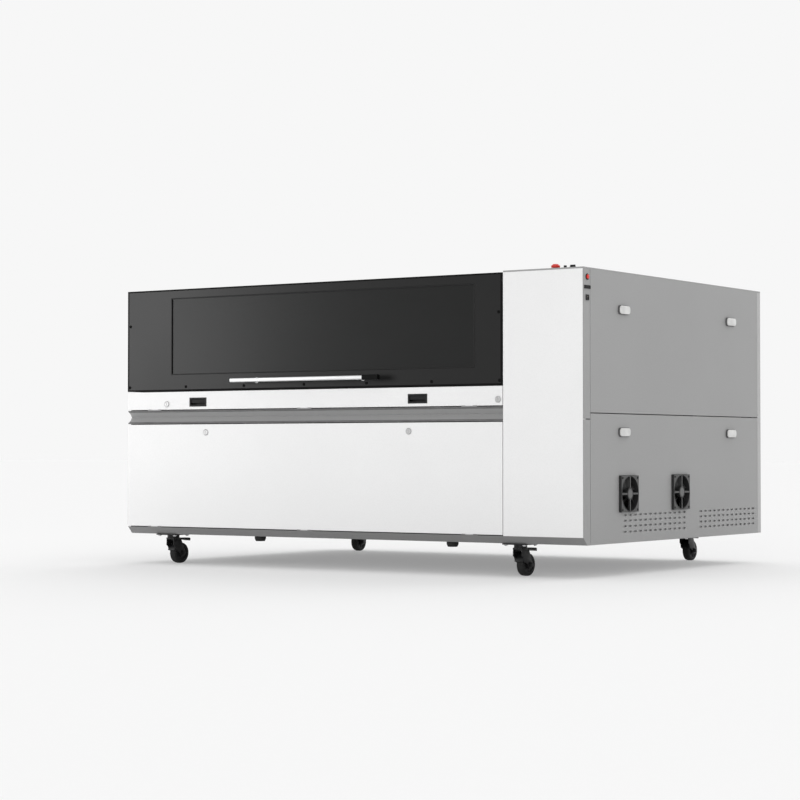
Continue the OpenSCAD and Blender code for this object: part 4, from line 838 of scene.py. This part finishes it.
class LASER_OT_caster_wheels(LaserOperator):
    """Caster wheels: a rubber tyre on a ribbed core with bearing caps"""
    bl_idname = "laser.caster_wheels"
    bl_label = "Caster wheels"

    side = -14
    spokes = 8

    def execute(self, context):
        side = self.side
        for corner in CORNERS:
            joint = JOINTS["caster_%s_roll" % corner]
            axis = Vector(joint["axis"]).normalized()
            centre = Vector(joint["pos_m"])
            radius = centre.z / MM
            rim = radius - self.sizes.tyre_t / MM
            bm = bmesh.new()
            tyre = [(rim, side + 1.5), (radius - 4, side + 0.5), (radius - 1.2, side + 2.5), (radius - 0.3, side + 6),
                    (radius, side + 9)]
            ring(bm, both_sides(tyre), centre, axis, 64)
            rubber = set(bm.faces)
            core = [(5.05, side - 1), (10, side - 1), (11, side), (11.5, side + 4), (rim - 4, side + 4),
                    (rim - 3, side + 1), (rim + 0.3, side + 1)]
            ring(bm, both_sides(core), centre, axis, 64)
            low, high = (-1.4, side + 1.8, 11), (1.4, -side - 1.8, rim - 3.4)
            spoke = template_of(lambda bm: bar(bm, Vector(), low, high, 0.5))
            across = axis.orthogonal().normalized()
            for step in range(self.spokes):
                out = Matrix.Rotation(TURN * step / self.spokes, 4, axis) @ across
                turned = Matrix((axis.cross(out), axis, out)).transposed().to_4x4()
                stamp(bm, spoke, [Matrix.Translation(centre) @ turned])
            second_finish(bm, rubber)
            bmesh.ops.recalc_face_normals(bm, faces=bm.faces)
            piece(bm, "caster_tyre_" + corner, "wheel_" + corner, ["matt_rubber", "moulded_black"],
                  ["caster_wheel_" + corner])
        return {"FINISHED"}


class LASER_OT_caster_forks(LaserOperator):
    """Pressed forks of the casters, with a curved guard over the wheel, the axle and the brake pedal"""
    bl_idname = "laser.caster_forks"
    bl_label = "Caster forks"

    inner = 16
    outer = 19
    eye = 13
    disc = ((6.4, -6), (22, -6), (23, -5), (23, -1), (22, 0), (6.4, 0))
    bridges = ((-18, -8), (8, 20))
    bridge_rounding = 2.5 * MM
    rod = ((0.0, -22), (8.5, -22), (8.5, -19), (5, -19), (5, 19), (8.5, 19), (8.5, 22), (0.0, 22))
    guard = (math.radians(94), math.radians(166))
    guard_t = 2.5
    guard_gap = 3.5
    notch = (-24, 14, 16)
    notch_span = (math.radians(-10), math.radians(68))

    def slab(self, bm, outline, x0, x1, rounding):
        """A plate with an outline of (y, z) points between two places along X, with its rims rounded."""
        before = set(bm.edges)
        face = bm.faces.new([bm.verts.new((x0 * MM, y * MM, z * MM)) for y, z in outline])
        raise_faces(bm, [face], ((x1 - x0) * MM, 0, 0))
        rims = [e for e in bm.edges if e not in before and abs(e.verts[0].co.x - e.verts[1].co.x) < NEAR]
        soften(bm, rims, rounding * MM)

    def arc(self, y, z, radius, start, stop, steps):
        angles = [start + (stop - start) * i / steps for i in range(steps + 1)]
        return [(y + radius * math.cos(a), z + radius * math.sin(a)) for a in angles]

    def execute(self, context):
        inner, outer, eye = self.inner, self.outer, self.eye
        for corner in CORNERS:
            place, trail, axle = caster(corner)
            trail, axle, top = trail / MM, axle / MM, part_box("caster_fork_" + corner)[1].z / MM
            bm = bmesh.new()
            ring(bm, [(r, top + h) for r, h in self.disc], Vector(), Z_AXIS, 48)
            for y0, y1 in self.bridges:
                low, high = Vector((-outer, y0, top - 6)) * MM, Vector((outer, y1, top)) * MM
                block(bm, low, high, self.bridge_rounding, 3, Y_AXIS)
            y, z, radius = self.notch
            leg = [(-17, top - 1), (19, top - 1), (trail + eye, axle + 6)]
            leg += self.arc(trail, axle, eye, 0.0, -math.pi, 14)
            leg += self.arc(y, axle + z, radius, *self.notch_span, 8)
            for x0, x1 in ((-outer, -inner), (inner, outer)):
                self.slab(bm, leg, x0, x1, 0.7)
            reach = axle + self.guard_gap
            shell = self.arc(trail, axle, reach, *self.guard, 14)
            shell += self.arc(trail, axle, reach + self.guard_t, *reversed(self.guard), 14)
            self.slab(bm, shell, -inner - 0.5, inner + 0.5, 0.5)
            pedal = [(12, 0), (20, 0), (trail + 22, -3), (trail + 42, -3), (trail + 42, -13), (trail + 22, -9),
                     (20, -6), (12, -6)]
            self.slab(bm, [(y, top + z) for y, z in pedal], -inner, inner, 1.0)
            lathe(bm, self.rod, Vector((0, trail, axle)) * MM, X_AXIS)
            settle(bm, place)
            piece(bm, "caster_fork_pressing_" + corner, "fork_" + corner, ["coated_steel"],
                  ["caster_fork_" + corner])
        return {"FINISHED"}


class LASER_OT_caster_fittings(LaserOperator):
    """Bolts of the caster plates, axle nuts and ribs of the brake pedals"""
    bl_idname = "laser.caster_fittings"
    bl_label = "Caster fittings"

    bolt_at = 35 * MM
    plate_t = 4 * MM
    nut_at = 22 * MM
    ribs = 4
    rib_pitch = 4.5
    rib_start = 25
    rib_drop = 3.3 * MM

    def execute(self, context):
        plate_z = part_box("caster_plates")[1].z - self.plate_t
        bolts = bmesh.new()
        for corner in CORNERS:
            place, trail, axle = caster(corner)
            swivel = place.translation
            screws(bolts, hex_head(5.5, 4.5), [(swivel.x + a * self.bolt_at, swivel.y + b * self.bolt_at, plate_z)
                                               for a in BOTH for b in BOTH], -Z_AXIS)
            bm = bmesh.new()
            for side in BOTH:
                screws(bm, hex_head(7, 5), [(side * self.nut_at, trail, axle)], X_AXIS * side)
            origin = Vector((0, trail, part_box("caster_fork_" + corner)[1].z - self.rib_drop))
            for rib in range(self.ribs):
                y = self.rib_start + self.rib_pitch * rib
                bar(bm, origin, (-14, y, 0), (14, y + 2, 1.2), 0.5)
            settle(bm, place)
            piece(bm, "caster_nuts_" + corner, "fork_" + corner, ["coated_steel"])
        piece(bolts, "caster_bolts", "chassis", ["bright_steel"])
        return {"FINISHED"}


class LASER_OT_lock_faces(LaserOperator):
    """Rings round the key slots of the round locks"""
    bl_idname = "laser.lock_faces"
    bl_label = "Lock faces"

    face = ((1.0, -0.1), (1.6, 0.7), (2.8, 0.7), (3.4, -0.1))

    def execute(self, context):
        for lock in LOCKS:
            low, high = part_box(lock)
            radius = (high.x - low.x) / 2
            bm = bmesh.new()
            ring(bm, [(radius / MM - inset, height) for inset, height in self.face],
                 Vector(((low.x + high.x) / 2, low.y, low.z + radius)), -Y_AXIS)
            piece(bm, lock + "_ring", lock + "_body", ["lock_nickel"])
        return {"FINISHED"}


class LASER_OT_latch_ribs(LaserOperator):
    """Grip ribs on the paddles of the flush latches"""
    bl_idname = "laser.latch_ribs"
    bl_label = "Latch ribs"

    ribs = 3
    pitch = 2.6
    start = 1.2

    def execute(self, context):
        for side in ("left", "right"):
            node = "latch_paddle_" + side
            low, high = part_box(node)
            length = (high.x - low.x) / MM
            bm = bmesh.new()
            for rib in range(self.ribs):
                base = self.start + self.pitch * rib
                bar(bm, low, (5, -0.5, base), (length - 5, 0.3, base + 1.1), 0.3)
            piece(bm, node + "_ribs", node + "_body", ["moulded_black"])
        return {"FINISHED"}


class LASER_OT_hinge_screws(LaserOperator):
    """Screws of the hood's hinges, on the fixed leaves and on the hood"""
    bl_idname = "laser.hinge_screws"
    bl_label = "Hinge screws"

    leaf_w = 90 * MM
    leaf_screws = (-30 * MM, 0.0, 30 * MM)
    eye_screws = (-14 * MM, 14 * MM)
    leaf_back = Vector((0, -12 * MM, -1 * MM))
    eye_back = Vector((0, -29 * MM, -5.8 * MM))

    def execute(self, context):
        low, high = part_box("lid_hinge_leaves")
        spread = (high.x - low.x - self.leaf_w) / 2
        hinges = [(low.x + high.x) / 2 + step * spread for step in (-1, 0, 1)]
        head = button_head(3.4, 0.8)
        for name, body, offsets, corner in (
                ("hinge_leaf_screws", "chassis", self.leaf_screws, high + self.leaf_back),
                ("hinge_eye_screws", "lid", self.eye_screws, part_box("lid_shell")[1] + self.eye_back)):
            bm = bmesh.new()
            screws(bm, head, [(x + offset, corner.y, corner.z) for x in hinges for offset in offsets])
            piece(bm, name, body, ["bright_steel"])
        return {"FINISHED"}


class LASER_OT_fan_faces(LaserOperator):
    """Throat lips, hub covers and corner screws of the fans"""
    bl_idname = "laser.fan_faces"
    bl_label = "Fan faces"

    corner = 52.5 * MM
    lip = ((56.7, -1.5), (57, 0.6), (57.8, 1.0), (58.8, 0.7), (59.4, -0.4))
    hub_rim = ((19.6, -0.5), (19.2, 0.7), (17.8, 0.9), (17.0, -0.5))
    foil = ((0.0, 0.35), (14, 0.35), (14, -0.2), (0.0, -0.2))

    def execute(self, context):
        lips, foils, heads = bmesh.new(), bmesh.new(), bmesh.new()
        for end in ("front", "rear"):
            centre = Vector(JOINTS["fan_%s_spin" % end]["pos_m"])
            centre.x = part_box("fan_frames")[1].x
            ring(lips, self.lip, centre, X_AXIS, 72)
            ring(lips, self.hub_rim, centre, X_AXIS, 48)
            lathe(foils, self.foil, centre, X_AXIS, 48)
            screws(heads, button_head(4.4, 2.0),
                   [centre + Vector((0, a, b)) * self.corner for a in BOTH for b in BOTH], X_AXIS)
        piece(lips, "fan_lips", "chassis", ["fan_grey"])
        piece(foils, "fan_foils", "chassis", ["foil_grey"])
        piece(heads, "fan_screws", "chassis", ["coated_steel"])
        return {"FINISHED"}


class LASER_OT_vent_filter(LaserOperator):
    """Filter mat behind the vent slots of the lower right panel"""
    bl_idname = "laser.vent_filter"
    bl_label = "Vent filter"

    ends = (205 * MM, 20 * MM)
    heights = (22 * MM, 99 * MM)
    behind = (8 * MM, 5 * MM)

    def execute(self, context):
        low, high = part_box("right_lower_panel")
        bm = bmesh.new()
        block(bm, (high.x - self.behind[0], low.y + self.ends[0], low.z + self.heights[0]),
              (high.x - self.behind[1], high.y - self.ends[1], low.z + self.heights[1]), 0.8 * MM)
        piece(bm, "vent_filter", "chassis", ["filter_grey"])
        return {"FINISHED"}


class LASER_OT_socket_contacts(LaserOperator):
    """Tongue of the flat socket and contact wires of the square one"""
    bl_idname = "laser.socket_contacts"
    bl_label = "Socket contacts"

    flat_z = 827 * MM
    square_z = 793.5 * MM
    across = 25 * MM
    floor_x = 1 * MM
    wires = (8, 1.25)
    pads = (4, 5.5)

    def row(self, count, pitch):
        return [(i - (count - 1) / 2) * pitch for i in range(count)]

    def execute(self, context):
        low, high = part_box("corner_post")
        flat, square = (Vector((high.x + self.floor_x, low.y + self.across, low.z + z))
                        for z in (self.flat_z, self.square_z))
        tongues, contacts = bmesh.new(), bmesh.new()
        bar(tongues, flat, (0, -13, -0.9), (1.6, 13, 0.9), 0.3)
        bar(tongues, square, (0, -4, -6), (1.4, 4, -4.2), 0.3)
        for at in self.row(*self.wires):
            bar(contacts, square, (0, at - 0.3, 0.5), (1.2, at + 0.3, 5), 0.15)
        for at in self.row(*self.pads):
            bar(contacts, flat, (0.3, at - 1, 0.7), (1.5, at + 1, 1.1), 0.1)
        piece(tongues, "socket_tongues", "chassis", ["moulded_black"])
        piece(contacts, "socket_wires", "chassis", ["contact"])
        return {"FINISHED"}


class LASER_OT_roof_controls(LaserOperator):
    """Rings on the emergency stop and the key switch"""
    bl_idname = "laser.roof_controls"
    bl_label = "Roof controls"

    key_h = 6 * MM
    crown = ((8.6, -1.2), (9.0, -0.1), (10.0, -0.5), (10.4, -2.0))
    rim = ((9.9, -0.8), (9.7, 0.5), (8.7, 0.8), (8.2, -0.2))

    def execute(self, context):
        for node, name, down, profile, finish, slot in (
                ("estop_button", "estop_ring", 0.0, self.crown, "gloss_red", "red_plastic"),
                ("key_switch", "key_switch_rim", self.key_h, self.rim, "moulded_black", "black_plastic")):
            centre = middle(node)
            centre.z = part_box(node)[1].z - down
            bm = bmesh.new()
            ring(bm, profile, centre, Z_AXIS, 48)
            piece(bm, name, node + "_body", [finish])
        return {"FINISHED"}


class LASER_OT_head_fittings(LaserOperator):
    """Knurl of the nozzle nut, screws of the clamp collar and the cable nut of the sensor arm"""
    bl_idname = "laser.head_fittings"
    bl_label = "Cutting head fittings"

    ridges = 44
    ridge_in = 3.4
    cable_in = 16 * MM
    cable_up = 35 * MM
    threads = 5
    thread_pitch = 1.6
    lug = (20.5 * MM, -8.8 * MM)
    cover_xs = (-21 * MM, 21 * MM)
    cover_zs = (38 * MM, 112 * MM)

    def execute(self, context):
        low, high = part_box("nozzle_nut")
        centre = middle("nozzle_nut")
        radius = (high.x - low.x) / 2 / MM
        half = (high.z - low.z) / 2 / MM - self.ridge_in
        ridge = template_of(lambda bm: bar(bm, Vector(), (radius - 0.6, -0.8, -half), (radius + 0.6, 0.8, half), 0.4))
        bm = bmesh.new()
        stamp(bm, ridge, [Matrix.Translation(centre) @ Matrix.Rotation(TURN * i / self.ridges, 4, "Z")
                          for i in range(self.ridges)])
        piece(bm, "nozzle_nut_knurl", "head", ["turned_steel"])
        end = Vector((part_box("sensor_arm")[0].x + self.cable_in, centre.y, high.z + self.cable_up))
        bm = bmesh.new()
        screws(bm, hex_head(13, 7), [end])
        for turn in range(self.threads):
            up = 8 + self.thread_pitch * turn
            ring(bm, [(10.0, up), (10.7, up + 0.5), (10.0, up + 1)], end, Z_AXIS)
        piece(bm, "sensor_cable_nut", "head", ["turned_steel"])
        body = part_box("head_body")[0]
        collar = middle("clamp_collar")
        bm = bmesh.new()
        screws(bm, button_head(2.9, 2.6), [(centre.x + self.lug[0], centre.y + self.lug[1], collar.z)], -Y_AXIS)
        screws(bm, button_head(2.6, 1.6), [(centre.x + x, body.y, body.z + z)
                                           for x in self.cover_xs for z in self.cover_zs], -Y_AXIS)
        piece(bm, "head_screws", "head", ["bright_steel"])
        return {"FINISHED"}


class LASER_OT_gantry_fittings(LaserOperator):
    """Screws of the gantry's rails, saddles and motor, and end plates of the linear modules"""
    bl_idname = "laser.gantry_fittings"
    bl_label = "Gantry fittings"

    rail_front = 50 * MM
    rail_heights = (17 * MM, 73 * MM)
    rail_ends = 150 * MM
    pitch = 60 * MM
    beam_drop = 156.2 * MM
    motor_top = 6 * MM
    motor_in = 60 * MM
    motor_at = 22 * MM
    saddle_in = 28 * MM
    saddle_at = (19 * MM, 50 * MM, 14 * MM)
    module_w = 56 * MM
    plate_t = 8 * MM

    def execute(self, context):
        low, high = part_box("gantry_beam")
        mid = middle("gantry_beam")
        beam_z = high.z - self.beam_drop
        count = int((high.x - low.x - self.rail_ends) / self.pitch)
        bm = bmesh.new()
        screws(bm, button_head(3.6, 0.8), [
            (mid.x + (step - count / 2) * self.pitch, mid.y - self.rail_front, beam_z + height)
            for step in range(count + 1) for height in self.rail_heights], -Y_AXIS)
        for a, b in ((a, b) for a in BOTH for b in BOTH):
            screws(bm, button_head(3.2, 2.4), [
                (high.x - self.motor_in + a * self.motor_at, mid.y + b * self.motor_at, high.z - self.motor_top)])
            x, y, z = self.saddle_at
            screws(bm, hex_head(5, 4.5), [(saddle + a * x, mid.y + b * y, low.z + z)
                                          for saddle in (low.x + self.saddle_in, high.x - self.saddle_in)])
        piece(bm, "gantry_screws", "gantry", ["bright_steel"])
        low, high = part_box("linear_modules")
        bm = bmesh.new()
        for x in (low.x, high.x - self.module_w):
            for y in (low.y - self.plate_t, high.y):
                block(bm, (x - 1 * MM, y, low.z),
                      (x + self.module_w + 1 * MM, y + self.plate_t, high.z + 2 * MM), 1.2 * MM)
        piece(bm, "module_end_plates", "chassis", ["moulded_black"])
        return {"FINISHED"}


class LASER_OT_rear_fittings(LaserOperator):
    """Bead and rivets of the exhaust spigot, and the rear panel's screws"""
    bl_idname = "laser.rear_fittings"
    bl_label = "Rear fittings"

    bead = ((74.8, -3), (76.6, -1.5), (77.2, 0.0), (76.6, 1.5), (74.8, 3))
    bead_out = 39 * MM
    rivets = 8
    rivet_r = 86 * MM
    flange_t = 2.2 * MM
    inset = 16 * MM
    across = 8
    upward = 4

    def steps(self, low, high, count):
        start, stop = low + self.inset, high - self.inset
        return [start + (stop - start) * i / count for i in range(count + 1)]

    def execute(self, context):
        low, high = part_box("rear_panel")
        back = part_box("roof_panels")[1].y
        duct = next(mount for mount in frame["record"]["mounts"] if mount["name"] == "exhaust_spigot")
        centre = Vector((duct["pos_m"][0], back, duct["pos_m"][2]))
        bm = bmesh.new()
        ring(bm, self.bead, centre + Y_AXIS * self.bead_out, Y_AXIS, 72)
        angles = [TURN * i / self.rivets for i in range(self.rivets)]
        screws(bm, button_head(3.6, 1.8), [
            centre + Vector((self.rivet_r * math.cos(a), self.flange_t, self.rivet_r * math.sin(a)))
            for a in angles], Y_AXIS)
        xs = self.steps(low.x, high.x, self.across)
        zs = self.steps(low.z, high.z, self.upward)
        edge = [(x, back, z) for x in xs for z in (zs[0], zs[-1])]
        edge += [(x, back, z) for z in zs[1:-1] for x in (xs[0], xs[-1])]
        screws(bm, button_head(5, 2.4), edge, Y_AXIS)
        piece(bm, "rear_screws", "chassis", ["coated_steel"])
        return {"FINISHED"}


class LASER_OT_strut_glands(LaserOperator):
    """Gland rings at the upper ends of the strut cylinders"""
    bl_idname = "laser.strut_glands"
    bl_label = "Strut glands"

    body_len = 300 * MM
    middle_in = 9 * MM
    gland = ((4.8, -1), (9.3, -4), (9.6, -1), (8.4, 2.5), (4.8, 3))

    def execute(self, context):
        low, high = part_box("strut_cylinders")
        foot = Vector(JOINTS["strut_tilt"]["pos_m"])
        along = Vector(JOINTS["strut_extend"]["axis"]).normalized()
        bm = bmesh.new()
        for x in (low.x + self.middle_in, high.x - self.middle_in):
            ring(bm, self.gland, Vector((x, foot.y, foot.z)) + along * self.body_len, along)
        piece(bm, "strut_glands", "strut_cylinder", ["moulded_black"])
        return {"FINISHED"}


class LASER_OT_stage(LaserOperator):
    """Floor, studio light and the camera"""
    bl_idname = "laser.stage"
    bl_label = "Stage"

    lens = 97.97
    eye = Vector((4.33165, -6.75752, 0.41544))
    yaw = math.radians(33.85)
    pitch = math.radians(1.297)
    backdrop = (0.93, 0.93, 0.93, 1.0)
    ambient = (0.7, 0.7, 0.7, 1.0)
    paper = ((0.892, 0.892, 0.892, 1.0), (0.902, 0.902, 0.902, 1.0))
    floor_glow = 0.3
    floor_size = 60.0
    suns = (("camera_light", (-0.42, 0.9, -0.12), 0.82, 40), ("back_light", (0.1, -0.8, -0.6), 1.6, 70))

    def add(self, name, data, place, rotation):
        made = bpy.data.objects.new(name, data)
        made.location = place
        made.rotation_euler = rotation
        bpy.context.scene.collection.objects.link(made)
        return made

    def camera(self):
        data = bpy.data.cameras.new("camera")
        data.lens = self.lens
        data.sensor_width = 36.0
        data.clip_end = 200.0
        turn = (math.radians(90) + self.pitch, 0.0, self.yaw)
        bpy.context.scene.camera = self.add("camera", data, self.eye, turn)

    def world(self):
        world = bpy.data.worlds.new("studio")
        world.use_nodes = True
        tree = Tree(world.node_tree)
        plain = world.node_tree.nodes["Background"]
        tree.plug(plain.inputs["Color"], self.ambient)
        seen = tree.node("ShaderNodeBackground", None, {"Color": self.backdrop})
        tree.end("World Output", tree.seen_ray(), Wire(tree, plain.outputs[0]), seen)
        bpy.context.scene.world = world

    def light(self, name, kind, energy, direction, place=(0, 0, 0)):
        """A lamp that shines in a direction."""
        data = bpy.data.lights.new(name, kind)
        data.energy = energy
        self.add(name, data, place, Vector(direction).to_track_quat("-Z", "Y").to_euler())
        return data

    def softbox(self, name, place, aim, size, power):
        data = self.light(name, "AREA", power, Vector(aim) - Vector(place), place)
        data.shape = "RECTANGLE"
        data.size, data.size_y = size

    def floor(self):
        bm = bmesh.new()
        bmesh.ops.create_grid(bm, x_segments=1, y_segments=1, size=self.floor_size)
        mesh = bpy.data.meshes.new("floor")
        bm.to_mesh(mesh)
        bm.free()
        finish = Finish("floor_paper", specular_ior_level=0.0, roughness=1.0)
        finish.set("Base Color", finish.mix(finish.noise(40.0, 2.0), *self.paper))
        glow = finish.node("ShaderNodeEmission", None, {"Color": self.backdrop})
        paper = Wire(finish, finish.shader.outputs[0])
        finish.end("Material Output", finish.seen_ray() * self.floor_glow, paper, glow)
        mesh.materials.append(finish.material)
        self.add("floor", mesh, (0, 0, 0), (0, 0, 0))

    def execute(self, context):
        self.camera()
        self.world()
        self.floor()
        for name, direction, strength, angle in self.suns:
            self.light(name, "SUN", strength, direction).angle = math.radians(angle)
        self.softbox("left_softbox", (-3.0, -3.1, 1.0), (-0.6, -0.67, 0.75), (1.1, 1.3), 18.0)
        context.scene.view_settings.view_transform = "Standard"
        return {"FINISHED"}


PIECES = (
    LASER_OT_finishes,
    LASER_OT_hood_screws,
    LASER_OT_hood_edging_and_seam_shade,
    LASER_OT_groove_shade_strips,
    LASER_OT_handle,
    LASER_OT_turn_latches,
    LASER_OT_fan_rotors,
    LASER_OT_caster_wheels,
    LASER_OT_caster_forks,
    LASER_OT_caster_fittings,
    LASER_OT_lock_faces,
    LASER_OT_latch_ribs,
    LASER_OT_hinge_screws,
    LASER_OT_fan_faces,
    LASER_OT_vent_filter,
    LASER_OT_socket_contacts,
    LASER_OT_roof_controls,
    LASER_OT_head_fittings,
    LASER_OT_gantry_fittings,
    LASER_OT_rear_fittings,
    LASER_OT_strut_glands,
    LASER_OT_stage,
)


class LASER_PT_panel(bpy.types.Panel):
    """Buttons for the machine's pieces and its stage"""
    bl_idname = "LASER_PT_panel"
    bl_label = "Laser Cutter"
    bl_space_type = "VIEW_3D"
    bl_region_type = "UI"
    bl_category = "Laser Cutter"

    def draw(self, context):
        for operator in PIECES:
            self.layout.operator(operator.bl_idname)
        for group in (context.scene.laser_sizes, context.scene.laser_colours):
            for name in group.__annotations__:
                self.layout.prop(group, name)


CLASSES = (LaserColours, LaserSizes, *PIECES, LASER_PT_panel)


def register():
    for cls in CLASSES:
        bpy.utils.register_class(cls)
    bpy.types.Scene.laser_colours = bpy.props.PointerProperty(type=LaserColours)
    bpy.types.Scene.laser_sizes = bpy.props.PointerProperty(type=LaserSizes)


def unregister():
    del bpy.types.Scene.laser_sizes
    del bpy.types.Scene.laser_colours
    for cls in reversed(CLASSES):
        bpy.utils.unregister_class(cls)


def main():
    register()
    for operator in PIECES:
        group, name = operator.bl_idname.split(".")
        getattr(getattr(bpy.ops, group), name)()


if __name__ == "__main__":
    main()
